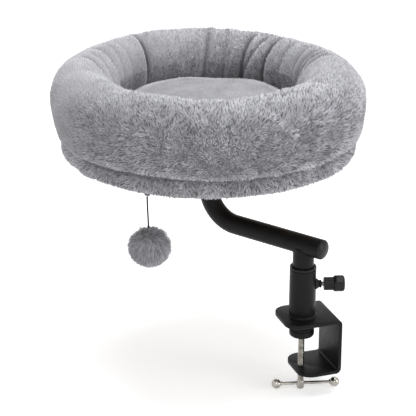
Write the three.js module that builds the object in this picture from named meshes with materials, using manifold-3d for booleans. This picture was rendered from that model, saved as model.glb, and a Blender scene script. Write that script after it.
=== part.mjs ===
// Cat desk bed: a plush ring bed on a bent steel arm that turns in a desk clamp.
// Millimetres, +Z up. The origin is where the jaw pad meets the desk's top, on the sleeve's axis,
// and +X points from that axis to the bracket's back plate.

import * as THREE from 'three';
import { mergeVertices } from 'three/addons/utils/BufferGeometryUtils.js';
import Module from 'manifold-3d';

const wasm = await Module();
wasm.setup();

// Fits and finish
const seatGap = 0.3;
const runningGap = 0.25;
const cutOverrun = 2;
const weldTolerance = 0.001;
const tubeSides = 32;
const rodSides = 16;
const bendSteps = 5;
const roundingSteps = 3;
const quarterTurn = Math.PI / 2;

// Clamp bracket
const plateThickness = 4.5;
const plateWidth = 64;
const jawOpening = 66.2;
const upperReach = 29.8;
const lowerReach = 11.4;
const backReach = 42.3;
const bendInnerRadius = 2.5;
const tipCornerRadius = 18.5;

// Rubber pad under the upper plate
const jawPadThickness = 1.5;
const jawPadMargin = 1;

// Sleeve, its weld and its liner
const sleeveDiameter = 33.7;
const sleeveWall = 1.8;
const sleeveLength = 63.8;
const sleeveWeldLeg = 1.6;
const linerFlangeHeight = 3.4;
const linerFlangeRounding = 1.5;

// Lock screw
const lockYaw = THREE.MathUtils.degToRad(-17);
const lockHeight = 42.3;
const lockStudDiameter = 6;
const lockStudGrip = 14;
const lockStudChamfer = 1;
const lockBossLength = 6.7;
const lockBossDiameter = 10.1;
const lockBossWaist = 9;
const lockBossFlare = 15.5;
const lockBossRimLength = 2.6;
const lockBossChamfer = 0.65;
const knobGap = 2.8;
const knobNeckDiameter = 16.8;
const knobNeckLength = 12.6;
const knobFlutes = 12;
const knobFluteDepth = 0.7;
const pointsPerFlute = 4;
const knobHeadSides = 6;
const knobHeadAcrossFlats = 20;
const knobHeadCornerRadius = 1.8;
const knobHeadLength = 13.7;
const knobHeadDome = 0.6;
const knobChamfer = 2;

// Clamp screw and pressure pad
const screwDiameter = 8;
const screwClearance = 0.3;
const screwEndZ = -98.5;
const screwHeadLength = 11.5;
const screwHeadDiameter = 9.9;
const screwHeadEndDiameter = 7.6;
const screwSocketDepth = 4.5;
const screwChamfer = 1.2;
const restGap = 11.9;
const cupDiameter = 31.8;
const cupHeight = 8.7;
const cupRounding = 2.4;
const cupRecess = 1.2;
const cupRim = 1.6;
const pressureFaceThickness = 3;
const pressureFaceRounding = 0.8;

// Tommy bar
const barYaw = THREE.MathUtils.degToRad(-14.2);
const barZ = -91.7;
const barDiameter = 4.2;
const barBallSpan = 75.4;
const barShift = 6.6;
const barBallDiameter = 13;
const barBallSocket = 5;
const barBallCollar = 6.4;

// Arm
const armYaw = THREE.MathUtils.degToRad(123.1);
const armDiameter = 25.4;
const armWall = 2;
const armHeight = 102.3;
const armTail = 32.9;
const bedOffset = 150.75;
const elbowRadius = 44.1;
const elbowSteps = 8;
const capHeadLength = 5;
const capDome = 1.8;
const capRounding = 3;
const capSpigotLength = 11;
const spigotClearance = 0.3;
const stubDiameter = 26.9;
const stubCopeDrop = 4;
const plugHeadLength = 2.5;
const plugSpigotLength = 12;

// Flange, board and fasteners
const flangeDiameter = 112;
const flangeThickness = 4;
const flangeWeldLeg = 3.2;
const fastenerCount = 4;
const fastenerCircleDiameter = 84;
const fastenerShankDiameter = 5.8;
const fastenerHeadDiameter = 10.4;
const fastenerHeadLength = 3.3;
const fastenerHeadRounding = 1.2;
const teeNutBarrelDiameter = 8;
const teeNutFlangeDiameter = 18;
const teeNutFlangeThickness = 1.5;
const teeNutBarrelLength = 8.5;
const boardDiameter = 348;
const boardThickness = 12;

// Plush base cover, in heights above its hem
const coverBottomZ = 196.5;
const coverHeight = 27;
const coverHemDiameter = 352;
const coverMidDiameter = 379;
const coverMidHeight = 12.5;
const coverTopDiameter = 374;
const coverHemThickness = 4;
const coverHemOpening = 250;
const coverRippleDepth = 1.2;
const coverRipples = 11;

// Plush bolster
const bolsterDiameter = 401;
const bolsterInnerDiameter = 224;
const bolsterHeight = 88;
const bolsterMidShare = 0.49;
const bolsterFootShares = [0.72, 0.76];
const bolsterCreaseDepth = 12;
const bolsterSwell = 1.6;
const bolsterSwells = 9;
const bolsterSteps = 64;
const bolsterArcSteps = 6;
// Where each gather starts on the crest, how far it has turned at the foot of the inner wall, both
// as shares of a turn, and how deep it is
const creaseTurnShares = [0.964, 0.042, 0.084, 0.856, 0.825, 0.781, 0.743, 0.72, 0.69, 0.643, 0.195, 0.52];
const creaseTwistShares = [0.017, 0.056, 0.119, 0.01, 0.003, 0.011, 0.006, -0.008, -0.038, -0.038, 0, 0];
const creaseDepthShares = [1, 0.8, 0.5, 0.3, 0.4, 0.5, 0.75, 0.35, 1, 0.6, 0.3, 0.25];
const creaseStartShare = 0.15;
const creaseTwistPower = 1.5;

// Cushion
const cushionHeight = 39.5;
const cushionCrown = 2;
const cushionDrawIn = 2.5;
const cushionSteps = 48;
const cushionTufts = 9;
const cushionScallop = 1;
const cushionCrownShares = [0.75, 0.5, 0.25];
const cushionEdgeShare = 0.7;

// Hanging toy; the cord's points are chosen by hand, from its exit down
const toyTurnShare = 0.2874;
const toyRadius = 175;
const toyTabWidth = 6;
const toyTabThickness = 2;
const toyTabHeight = 3.5;
const toyCordDiameter = 2;
const toyCordPoints = [
  [0, 0, 0],
  [0, 0, -4],
  [-0.1, 0.05, -9],
  [-0.3, 0.1, -15],
  [-0.6, 0.2, -21],
  [-0.9, 0.3, -27],
  [-1.1, 0.45, -34],
  [-1.4, 0.6, -41.5],
];
const toyCordSides = 8;
const pompomDiameter = 52;
const pompomHeight = 49;
const pompomLump = 0.8;
const pompomLumps = 5;

// Finishes
const blackSteel = { color: 0x242426, roughness: 0.45, metalness: 0.2 };
const blackPlastic = { color: 0x1b1b1d, roughness: 0.5, metalness: 0 };
const rubber = { color: 0x161617, roughness: 0.85, metalness: 0 };
const nickel = { color: 0xc9c7c0, roughness: 0.22, metalness: 1 };
const zinc = { color: 0xb4b6b8, roughness: 0.35, metalness: 1 };
const plywood = { color: 0xb8946a, roughness: 0.75, metalness: 0 };
const plush = { color: 0xa3a3aa, roughness: 0.95, metalness: 0 };
const shortPlush = { color: 0xb6b6bc, roughness: 0.95, metalness: 0 };
const cordBlack = { color: 0x1a1a1c, roughness: 0.8, metalness: 0 };
const tape = { color: 0x3a3a3d, roughness: 0.9, metalness: 0 };

// Sizes that follow from those above
const sleeveRadius = sleeveDiameter / 2;
const sleeveBore = sleeveRadius - sleeveWall;
const armRadius = armDiameter / 2;
const armBore = armRadius - armWall;
const stubRadius = stubDiameter / 2;
const stubBore = stubRadius - armWall;
const upperPlateBottomZ = jawPadThickness;
const upperPlateTopZ = upperPlateBottomZ + plateThickness;
const lowerPlateTopZ = upperPlateBottomZ - jawOpening;
const lowerPlateBottomZ = lowerPlateTopZ - plateThickness;
const cupBottomZ = -restGap - pressureFaceThickness + cupRecess - cupHeight;
const flangeTopZ = coverBottomZ + flangeThickness;
const boardBottomZ = flangeTopZ + seatGap;
const boardTopZ = boardBottomZ + boardThickness;
const coverTopZ = coverBottomZ + coverHeight;

const object = new THREE.Group();

// A closed mesh that shares its vertices, has no flat triangles and faces out.
function closed(geometry) {
  const bare = new THREE.BufferGeometry();
  bare.setAttribute('position', geometry.getAttribute('position').clone());
  if (geometry.index) bare.setIndex(geometry.index.clone());
  const welded = mergeVertices(bare, weldTolerance);
  const corner = [new THREE.Vector3(), new THREE.Vector3(), new THREE.Vector3()];
  const position = welded.getAttribute('position');
  const kept = [];
  let volume = 0;
  for (let i = 0; i < welded.index.count; i += 3) {
    const [a, b, c] = [0, 1, 2].map((k) => welded.index.getX(i + k));
    if (a === b || b === c || c === a) continue;
    kept.push(a, b, c);
    [a, b, c].forEach((vertex, k) => corner[k].fromBufferAttribute(position, vertex));
    volume += corner[0].dot(corner[1].cross(corner[2]));
  }
  welded.setIndex(volume < 0 ? kept.reverse() : kept);
  return welded;
}

function solidOf(geometry) {
  const mesh = closed(geometry);
  return new wasm.Manifold(new wasm.Mesh({
    numProp: 3,
    vertProperties: new Float32Array(mesh.getAttribute('position').array),
    triVerts: new Uint32Array(mesh.index.array),
  }));
}

function geometryOf(solid) {
  const mesh = solid.getMesh();
  const geometry = new THREE.BufferGeometry();
  geometry.setAttribute('position', new THREE.BufferAttribute(mesh.vertProperties, 3));
  geometry.setIndex(new THREE.BufferAttribute(mesh.triVerts, 1));
  return geometry;
}

function cut(geometry, ...cutters) {
  return geometryOf(cutters.reduce((solid, cutter) => solid.subtract(solidOf(cutter)), solidOf(geometry)));
}

function join(...geometries) {
  return geometryOf(geometries.map(solidOf).reduce((solid, next) => solid.add(next)));
}

function shared(geometry, envelope) {
  return geometryOf(solidOf(geometry).intersect(solidOf(envelope)));
}

// The corner radius of a faceted bore whose flats keep clear of a shaft of this radius.
function boreRadius(radius, sides) {
  return radius / Math.cos(Math.PI / sides);
}

// A body turned about Z; the profile's points are [radius, height].
function turned(profile, sides) {
  const points = profile.map(([radius, height]) => new THREE.Vector2(radius, height));
  return new THREE.LatheGeometry(points, sides).rotateX(quarterTurn);
}

// A round bar along Z from one height to another.
function bar(radius, fromZ, toZ, sides) {
  const length = toZ - fromZ;
  return new THREE.CylinderGeometry(radius, radius, length, sides)
    .rotateX(quarterTurn)
    .translate(0, 0, fromZ + length / 2);
}

// The points of an arc in a profile, as [radius, height].
function arc(centre, radii, fromTurn, toTurn, steps) {
  return Array.from({ length: steps + 1 }, (_, i) => {
    const angle = THREE.MathUtils.lerp(fromTurn, toTurn, i / steps) * 2 * Math.PI;
    return [centre[0] + radii[0] * Math.cos(angle), centre[1] + radii[1] * Math.sin(angle)];
  });
}

// A flat shape extruded up from a height.
function prism(shape, fromZ, toZ) {
  const options = { depth: toZ - fromZ, bevelEnabled: false, curveSegments: bendSteps };
  return new THREE.ExtrudeGeometry(shape, options).translate(0, 0, fromZ);
}

// A rectangle whose corners at its low X end are round.
function platePlan(lowX, highX, width, radius) {
  const half = width / 2;
  const shape = new THREE.Shape();
  shape.absarc(lowX + radius, -half + radius, radius, Math.PI, 3 * quarterTurn);
  shape.lineTo(highX, -half);
  shape.lineTo(highX, half);
  shape.absarc(lowX + radius, half - radius, radius, quarterTurn, Math.PI);
  shape.closePath();
  return shape;
}

// A path whose extrusion has its sections exactly at the stations given.
class Route extends THREE.Curve {
  constructor(stations) {
    super();
    this.stations = stations;
  }

  getPoint(share, target = new THREE.Vector3()) {
    const last = this.stations.length - 1;
    const before = Math.min(Math.floor(share * last), last - 1);
    return target.lerpVectors(this.stations[before], this.stations[before + 1], share * last - before);
  }

  getUtoTmapping(share) {
    return share;
  }
}

function alongRoute(shape, stations, sides) {
  return new THREE.ExtrudeGeometry(shape, {
    steps: stations.length - 1, extrudePath: new Route(stations), curveSegments: sides / 2,
  });
}

function ringShape(radius, bore) {
  const shape = new THREE.Shape().absarc(0, 0, radius, 0, 2 * Math.PI);
  shape.holes.push(new THREE.Path().absarc(0, 0, bore, 0, 2 * Math.PI));
  return shape;
}

// Moves every vertex of a turned body: move takes its radius, height and angle and returns the first two.
function reshaped(geometry, move) {
  const position = geometry.getAttribute('position');
  for (let i = 0; i < position.count; i += 1) {
    const angle = Math.atan2(position.getY(i), position.getX(i));
    const radius = Math.hypot(position.getX(i), position.getY(i));
    const [newRadius, newHeight] = move(radius, position.getZ(i), angle);
    position.setXYZ(i, newRadius * Math.cos(angle), newRadius * Math.sin(angle), newHeight);
  }
  return geometry;
}

function addPiece(parent, name, geometry, finish) {
  const mesh = new THREE.Mesh(closed(geometry), new THREE.MeshStandardMaterial(finish));
  mesh.name = name;
  parent.add(mesh);
  return mesh;
}

// Clamp bracket: a bent plate whose tips have round corners, with the screw's tapped hole
function bracketSection() {
  const outer = bendInnerRadius + plateThickness;
  const [left, right] = [-upperReach, backReach];
  const [bottom, top] = [lowerPlateBottomZ, upperPlateTopZ];
  const section = new THREE.Shape();
  section.moveTo(left, top);
  section.lineTo(left, upperPlateBottomZ);
  section.absarc(right - outer, upperPlateBottomZ - bendInnerRadius, bendInnerRadius, quarterTurn, 0, true);
  section.absarc(right - outer, lowerPlateTopZ + bendInnerRadius, bendInnerRadius, 0, -quarterTurn, true);
  section.lineTo(-lowerReach, lowerPlateTopZ);
  section.lineTo(-lowerReach, bottom);
  section.absarc(right - outer, bottom + outer, outer, -quarterTurn, 0);
  section.absarc(right - outer, top - outer, outer, 0, quarterTurn);
  section.closePath();
  return section;
}

function clampBracket() {
  const bent = new THREE.ExtrudeGeometry(bracketSection(), {
    depth: plateWidth, bevelEnabled: false, curveSegments: bendSteps,
  }).translate(0, 0, -plateWidth / 2).rotateX(quarterTurn);
  const middle = (upperPlateBottomZ + lowerPlateTopZ) / 2;
  const beyond = backReach + cutOverrun;
  const upperPlan = platePlan(-upperReach, beyond, plateWidth, tipCornerRadius);
  const lowerPlan = platePlan(-lowerReach, beyond, plateWidth, tipCornerRadius);
  const envelope = join(
    prism(upperPlan, middle, upperPlateTopZ + cutOverrun),
    prism(lowerPlan, lowerPlateBottomZ - cutOverrun, middle),
  );
  const holeRadius = boreRadius(screwDiameter / 2 + screwClearance, rodSides);
  const screwHole = bar(holeRadius, lowerPlateBottomZ - cutOverrun, lowerPlateTopZ + cutOverrun, rodSides);
  return cut(shared(bent, envelope), screwHole);
}

function jawPad() {
  const highX = backReach - plateThickness - bendInnerRadius - jawPadMargin;
  const width = plateWidth - 2 * jawPadMargin;
  const cornerRadius = tipCornerRadius - jawPadMargin;
  const plan = platePlan(-upperReach + jawPadMargin, highX, width, cornerRadius);
  return prism(plan, 0, jawPadThickness);
}

// A cutter along the lock screw's axis, in the sleeve's own heights.
function lockHole(radius) {
  return bar(boreRadius(radius, rodSides), 0, sleeveRadius + cutOverrun, rodSides)
    .rotateY(quarterTurn)
    .rotateZ(lockYaw)
    .translate(0, 0, lockHeight);
}

// Sleeve tube with the fillet weld at its foot and the lock screw's hole
function clampSleeve() {
  const bore = boreRadius(sleeveBore, tubeSides);
  const weld = arc(
    [sleeveRadius + sleeveWeldLeg, sleeveWeldLeg], [sleeveWeldLeg, sleeveWeldLeg], 0.75, 0.5, roundingSteps,
  );
  const profile = [
    [bore, 0],
    ...weld,
    [sleeveRadius, sleeveLength],
    [bore, sleeveLength],
    [bore, 0],
  ];
  return cut(turned(profile, tubeSides), lockHole(lockStudDiameter / 2 + screwClearance));
}

// Plastic liner with the flange that closes the sleeve's mouth
function sleeveLiner() {
  const bore = boreRadius(stubRadius + runningGap, tubeSides);
  const outside = sleeveBore - seatGap;
  const top = sleeveLength + seatGap + linerFlangeHeight;
  const rim = arc(
    [sleeveRadius - linerFlangeRounding, top - linerFlangeRounding],
    [linerFlangeRounding, linerFlangeRounding], 0, 0.25, roundingSteps,
  );
  const profile = [
    [bore, seatGap],
    [outside, seatGap],
    [outside, sleeveLength + seatGap],
    [sleeveRadius, sleeveLength + seatGap],
    ...rim,
    [bore, top],
    [bore, seatGap],
  ];
  return cut(turned(profile, tubeSides), lockHole(lockStudDiameter / 2 + screwClearance));
}

// Weld nut with its flared weld, along X from the sleeve's axis
function lockBoss() {
  const bore = boreRadius(lockStudDiameter / 2 + screwClearance, rodSides);
  const end = sleeveRadius + lockBossLength;
  const waist = end - lockBossRimLength;
  const profile = [
    [bore, sleeveBore],
    [lockBossFlare / 2, sleeveBore],
    [lockBossFlare / 2, sleeveRadius - lockBossChamfer],
    [lockBossWaist / 2, waist],
    [lockBossDiameter / 2, waist + lockBossChamfer],
    [lockBossDiameter / 2, end - lockBossChamfer],
    [lockBossWaist / 2, end],
    [bore, end],
    [bore, sleeveBore],
  ];
  const aroundSleeve = bar(
    boreRadius(sleeveRadius + seatGap / 2, tubeSides), -lockBossFlare, lockBossFlare, tubeSides,
  ).rotateY(-quarterTurn);
  return cut(turned(profile, rodSides), aroundSleeve);
}

function addClamp(parent) {
  addPiece(parent, 'clamp_bracket', clampBracket(), blackSteel);
  addPiece(parent, 'jaw_pad', jawPad(), rubber);
  const sleeveGroup = new THREE.Group();
  sleeveGroup.position.z = upperPlateTopZ;
  parent.add(sleeveGroup);
  addPiece(sleeveGroup, 'clamp_sleeve', clampSleeve(), blackSteel);
  addPiece(sleeveGroup, 'sleeve_liner', sleeveLiner(), blackPlastic);
  addLockScrew(sleeveGroup);
}

// Lock knob: a fluted neck and a six-sided head, bored for its stud
function flutedShape(radius, flutes, depth) {
  const count = flutes * pointsPerFlute;
  const points = Array.from({ length: count }, (_, i) => {
    const angle = (i / count) * 2 * Math.PI;
    const reach = radius - depth * (1 - Math.cos(flutes * angle)) / 2;
    return new THREE.Vector2(reach * Math.cos(angle), reach * Math.sin(angle));
  });
  return new THREE.Shape(points);
}

function headShape(acrossFlats, sides, cornerRadius) {
  const halfSide = Math.PI / sides;
  const reach = (acrossFlats / 2 - cornerRadius) / Math.cos(halfSide);
  const shape = new THREE.Shape();
  for (let i = 0; i < sides; i += 1) {
    const angle = 2 * i * halfSide;
    const [x, y] = [reach * Math.cos(angle), reach * Math.sin(angle)];
    shape.absarc(x, y, cornerRadius, angle - halfSide, angle + halfSide);
  }
  shape.closePath();
  return shape;
}

function lockKnob() {
  const end = knobNeckLength + knobHeadLength;
  const corner = knobHeadAcrossFlats / 2 / Math.cos(Math.PI / knobHeadSides);
  const fluted = flutedShape(knobNeckDiameter / 2, knobFlutes, knobFluteDepth);
  const neck = prism(fluted, 0, end - knobHeadLength / 2);
  const sided = headShape(knobHeadAcrossFlats, knobHeadSides, knobHeadCornerRadius);
  const head = prism(sided, knobNeckLength, end + knobHeadDome);
  const domeReach = [corner - knobChamfer, knobChamfer + knobHeadDome];
  const dome = arc([0, end - knobChamfer], domeReach, 0, 0.25, bendSteps);
  const envelope = turned([
    [0, 0],
    [knobNeckDiameter / 2 - knobChamfer / 2, 0],
    [knobNeckDiameter / 2, knobChamfer / 2],
    [knobNeckDiameter / 2, knobNeckLength],
    [corner, knobNeckLength + knobChamfer],
    [corner, end - 2 * knobChamfer],
    ...dome.slice(0, -1),
    [0, end + knobHeadDome],
  ], tubeSides);
  const studRadius = boreRadius(lockStudDiameter / 2 + screwClearance, rodSides);
  const socket = bar(studRadius, -cutOverrun, lockStudGrip + seatGap, rodSides);
  return cut(shared(join(neck, head), envelope), socket);
}

function lockStud() {
  const radius = lockStudDiameter / 2;
  const start = stubRadius + seatGap;
  const end = sleeveRadius + lockBossLength + knobGap + lockStudGrip;
  return turned([
    [0, start],
    [radius - lockStudChamfer, start],
    [radius, start + lockStudChamfer],
    [radius, end],
    [0, end],
  ], rodSides);
}

function addLockScrew(parent) {
  const group = new THREE.Group();
  group.position.z = lockHeight;
  group.rotation.z = lockYaw;
  parent.add(group);
  const along = new THREE.Group();
  along.rotation.y = quarterTurn;
  group.add(along);
  addPiece(along, 'lock_boss', lockBoss(), blackSteel);
  addPiece(along, 'lock_stud', lockStud(), nickel);
  const knob = addPiece(along, 'lock_knob', lockKnob(), blackPlastic);
  knob.position.z = sleeveRadius + lockBossLength + knobGap;
}

// Pressure cup with a recess for its rubber face and a socket for the screw
function pressureCup() {
  const radius = cupDiameter / 2;
  const recessRadius = boreRadius(radius - cupRim, tubeSides);
  const socket = boreRadius(screwDiameter / 2 + screwClearance, tubeSides);
  return turned([
    [0, screwSocketDepth],
    [socket, screwSocketDepth],
    [socket, 0],
    [radius - cupRounding, 0],
    ...arc([radius - cupRounding, cupRounding], [cupRounding, cupRounding], 0.75, 1, roundingSteps).slice(1),
    [radius, cupHeight],
    [recessRadius, cupHeight],
    [recessRadius, cupHeight - cupRecess],
    [0, cupHeight - cupRecess],
  ], tubeSides);
}

function pressureFace() {
  const radius = cupDiameter / 2 - cupRim - seatGap;
  const top = pressureFaceThickness;
  return turned([
    [0, seatGap],
    [radius, seatGap],
    [radius, top - pressureFaceRounding],
    [radius - pressureFaceRounding, top],
    [0, top],
  ], tubeSides);
}

// Clamp screw with a barrel-shaped head that the tommy bar crosses
function clampScrew() {
  const radius = screwDiameter / 2;
  const tip = cupBottomZ + screwSocketDepth - seatGap;
  const headTop = screwEndZ + screwHeadLength;
  const profile = [
    [0, screwEndZ],
    [screwHeadEndDiameter / 2 - screwChamfer, screwEndZ],
    [screwHeadEndDiameter / 2, screwEndZ + screwChamfer],
    [screwHeadDiameter / 2, barZ - barDiameter / 2],
    [screwHeadDiameter / 2, barZ + barDiameter / 2],
    [radius, headTop],
    [radius, tip - screwChamfer],
    [radius - screwChamfer, tip],
    [0, tip],
  ];
  const crossHole = bar(
    boreRadius(barDiameter / 2 + runningGap, rodSides), -screwHeadDiameter, screwHeadDiameter, rodSides,
  ).rotateY(quarterTurn).rotateZ(barYaw).translate(0, 0, barZ);
  return cut(turned(profile, rodSides), crossHole);
}

function barBall() {
  const radius = barBallDiameter / 2;
  const ball = new THREE.SphereGeometry(radius, rodSides, rodSides / 2).rotateZ(quarterTurn);
  const collar = bar(barBallCollar / 2, 0, radius + runningGap * 2, rodSides).rotateY(-quarterTurn);
  const socket = bar(
    boreRadius(barDiameter / 2 + runningGap, rodSides), radius - barBallSocket, 2 * radius, rodSides,
  ).rotateY(-quarterTurn);
  return cut(join(ball, collar), socket);
}

function addClampScrew(parent) {
  const cup = addPiece(parent, 'pressure_cup', pressureCup(), blackSteel);
  cup.position.z = cupBottomZ;
  const face = addPiece(parent, 'pressure_face', pressureFace(), rubber);
  face.position.z = cupBottomZ + cupHeight - cupRecess;
  addPiece(parent, 'clamp_screw', clampScrew(), nickel);
  const across = new THREE.Group();
  across.rotation.z = barYaw;
  across.position.z = barZ;
  parent.add(across);
  const shifted = new THREE.Group();
  shifted.position.x = barShift;
  across.add(shifted);
  const reach = barBallSpan / 2 - barBallDiameter / 2 + barBallSocket - seatGap;
  const rod = bar(barDiameter / 2, -reach, reach, rodSides).rotateY(quarterTurn);
  addPiece(shifted, 'tommy_bar', rod, nickel);
  const right = addPiece(shifted, 'tommy_ball_right', barBall(), nickel);
  right.position.x = barBallSpan / 2;
  const left = addPiece(shifted, 'tommy_ball_left', barBall(), nickel);
  left.position.x = -barBallSpan / 2;
  left.rotation.z = Math.PI;
}

// Arm: a straight tube with a swept elbow up to the bed
function armStations() {
  const bendStart = bedOffset - elbowRadius;
  const stations = [new THREE.Vector3(-armTail + capHeadLength + seatGap, 0, armHeight)];
  for (let i = 0; i <= elbowSteps; i += 1) {
    const angle = (i / elbowSteps) * quarterTurn;
    stations.push(new THREE.Vector3(
      bendStart + elbowRadius * Math.sin(angle), 0, armHeight + elbowRadius * (1 - Math.cos(angle)),
    ));
  }
  stations.push(new THREE.Vector3(bedOffset, 0, coverBottomZ - seatGap));
  return stations;
}

// Stub tube, coped at its top to the round of the arm
function armStub() {
  const foot = upperPlateTopZ + 2 * seatGap + plugHeadLength;
  const ring = ringShape(stubRadius, stubBore);
  const tube = new THREE.ExtrudeGeometry(ring, {
    depth: armHeight - stubCopeDrop - foot, bevelEnabled: false, curveSegments: tubeSides / 2,
  }).translate(0, 0, foot);
  const arm = bar(boreRadius(armRadius + seatGap, tubeSides), -armDiameter, armDiameter, tubeSides)
    .rotateY(quarterTurn)
    .translate(0, 0, armHeight);
  return cut(tube, arm);
}

// Plug in the stub's foot, on which the arm stands
function stubPlug() {
  const spigot = stubBore - spigotClearance;
  const top = plugHeadLength + plugSpigotLength;
  return turned([
    [0, 0],
    [stubRadius - armWall / 4, 0],
    [stubRadius, armWall / 4],
    [stubRadius, plugHeadLength],
    [spigot, plugHeadLength],
    [spigot, top - armWall / 2],
    [spigot - armWall / 2, top],
    [0, top],
  ], tubeSides);
}

// Domed plug in the arm's free end; its spigot points along +Z
function armEndCap() {
  const spigot = armBore - spigotClearance;
  const edge = arc(
    [armRadius - capRounding, capRounding + capDome], [capRounding, capRounding], 0.75, 1, roundingSteps,
  );
  return turned([
    [0, 0],
    [armRadius / 2, capDome / 4],
    ...edge,
    [armRadius, capHeadLength],
    [spigot, capHeadLength],
    [spigot, capHeadLength + capSpigotLength],
    [0, capHeadLength + capSpigotLength],
  ], tubeSides);
}

function bedFlange() {
  const radius = flangeDiameter / 2;
  const weldRadius = armRadius + seatGap;
  const plate = turned([
    [0, 0],
    [boreRadius(weldRadius, tubeSides), 0],
    [boreRadius(weldRadius, tubeSides), -flangeWeldLeg],
    [weldRadius + flangeWeldLeg / 4, -flangeWeldLeg],
    [weldRadius + flangeWeldLeg, -flangeWeldLeg / 4],
    [weldRadius + flangeWeldLeg, 0],
    [radius, 0],
    [radius, flangeThickness],
    [0, flangeThickness],
  ], tubeSides);
  const holeRadius = boreRadius(fastenerShankDiameter / 2 + screwClearance, rodSides);
  const hole = bar(holeRadius, -cutOverrun, flangeThickness + cutOverrun, rodSides);
  return cut(plate, ...fastenerPlaces().map(([x, y]) => hole.clone().translate(x, y, 0)));
}

function fastenerPlaces() {
  return Array.from({ length: fastenerCount }, (_, i) => {
    const angle = ((i + 0.5) / fastenerCount) * 2 * Math.PI;
    const radius = fastenerCircleDiameter / 2;
    return [radius * Math.cos(angle), radius * Math.sin(angle)];
  });
}

// Pan-head screw, its shank pointing up from the head's seat at zero
function flangeScrew() {
  const head = fastenerHeadDiameter / 2;
  const shank = fastenerShankDiameter / 2;
  const top = flangeThickness + boardThickness - teeNutFlangeThickness;
  const roundEdge = arc(
    [head - fastenerHeadRounding, fastenerHeadRounding - fastenerHeadLength],
    [fastenerHeadRounding, fastenerHeadRounding], 0.75, 1, roundingSteps - 1,
  );
  return turned([
    [0, -fastenerHeadLength],
    ...roundEdge,
    [head, 0],
    [shank, 0],
    [shank, top],
    [0, top],
  ], rodSides);
}

function teeNut() {
  const bore = boreRadius(fastenerShankDiameter / 2 + screwClearance, rodSides);
  const barrel = teeNutBarrelDiameter / 2;
  const flange = teeNutFlangeDiameter / 2;
  return turned([
    [bore, -teeNutBarrelLength],
    [barrel, -teeNutBarrelLength],
    [barrel, -teeNutFlangeThickness],
    [flange, -teeNutFlangeThickness],
    [flange, 0],
    [bore, 0],
    [bore, -teeNutBarrelLength],
  ], rodSides);
}

function baseBoard() {
  const disc = bar(boardDiameter / 2, 0, boardThickness, tubeSides * 2);
  const barrelRadius = boreRadius(teeNutBarrelDiameter / 2 + seatGap, rodSides);
  const barrel = bar(barrelRadius, -cutOverrun, boardThickness + cutOverrun, rodSides);
  const sinkRadius = boreRadius(teeNutFlangeDiameter / 2 + seatGap, rodSides);
  const sinkFloor = boardThickness - teeNutFlangeThickness - seatGap;
  const counterbore = bar(sinkRadius, sinkFloor, boardThickness + cutOverrun, rodSides);
  const holes = fastenerPlaces().flatMap(([x, y]) => [
    barrel.clone().translate(x, y, 0),
    counterbore.clone().translate(x, y, 0),
  ]);
  return cut(disc, ...holes);
}

// Plush cover: a padded top, a rounded skirt and a hem that wraps under the board
function baseCover() {
  const [hem, middle, top] = [coverHemDiameter / 2, coverMidDiameter / 2, coverTopDiameter / 2];
  const pocket = boreRadius(boardDiameter / 2 + seatGap, tubeSides * 2);
  const ceiling = boardTopZ + seatGap - coverBottomZ;
  const lowerSkirt = arc([hem, coverMidHeight], [middle - hem, coverMidHeight], 0.75, 1, bendSteps);
  const upperHeight = coverHeight - coverMidHeight;
  const shoulder = top - upperHeight / 2;
  const upperSkirt = arc(
    [shoulder, coverMidHeight], [middle - shoulder, upperHeight], 0, 0.25, bendSteps,
  ).slice(1);
  const cover = turned([
    [coverHemOpening / 2, 0],
    ...lowerSkirt,
    ...upperSkirt,
    [0, coverHeight],
    [0, ceiling],
    [pocket, ceiling],
    [pocket, coverHemThickness],
    [coverHemOpening / 2, coverHemThickness],
    [coverHemOpening / 2, 0],
  ], tubeSides * 2);
  const rim = (hem + pocket) / 2;
  return reshaped(cover, (radius, height, angle) => {
    if (radius < rim) return [radius, height];
    const ripple = (1 - Math.cos(coverRipples * angle)) / 2;
    const share = Math.sin(Math.PI * THREE.MathUtils.clamp(height / coverHeight, 0, 1));
    return [radius - coverRippleDepth * ripple * share, height];
  });
}

// The bolster's section: round above its widest level, squarer below it
function bolsterSection() {
  const middle = (bolsterDiameter + bolsterInnerDiameter) / 4;
  const half = (bolsterDiameter - bolsterInnerDiameter) / 4;
  const waist = bolsterHeight * bolsterMidShare;
  const [innerFoot, outerFoot] = bolsterFootShares.map((share) => share * half);
  const steps = bolsterArcSteps;
  return [
    ...arc([middle + outerFoot, waist], [half - outerFoot, waist], 0.75, 1, roundingSteps),
    ...arc([middle, waist], [half, bolsterHeight - waist], 0, 0.5, 2 * steps).slice(1),
    ...arc([middle - innerFoot, waist], [half - innerFoot, waist], 0.5, 0.75, roundingSteps).slice(1),
    [middle + outerFoot, 0],
  ];
}

// How deep the gathers are at an angle round the bolster; fall runs from the crest to the inner foot.
function creaseShare(angle, fall) {
  return creaseTurnShares.reduce((deepest, start, i) => {
    const here = start + creaseTwistShares[i] * fall ** creaseTwistPower;
    const off = Math.abs(THREE.MathUtils.euclideanModulo(angle / (2 * Math.PI) - here + 0.5, 1) - 0.5);
    return Math.max(deepest, creaseDepthShares[i] * (1 - off * bolsterSteps));
  }, 0);
}

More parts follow.
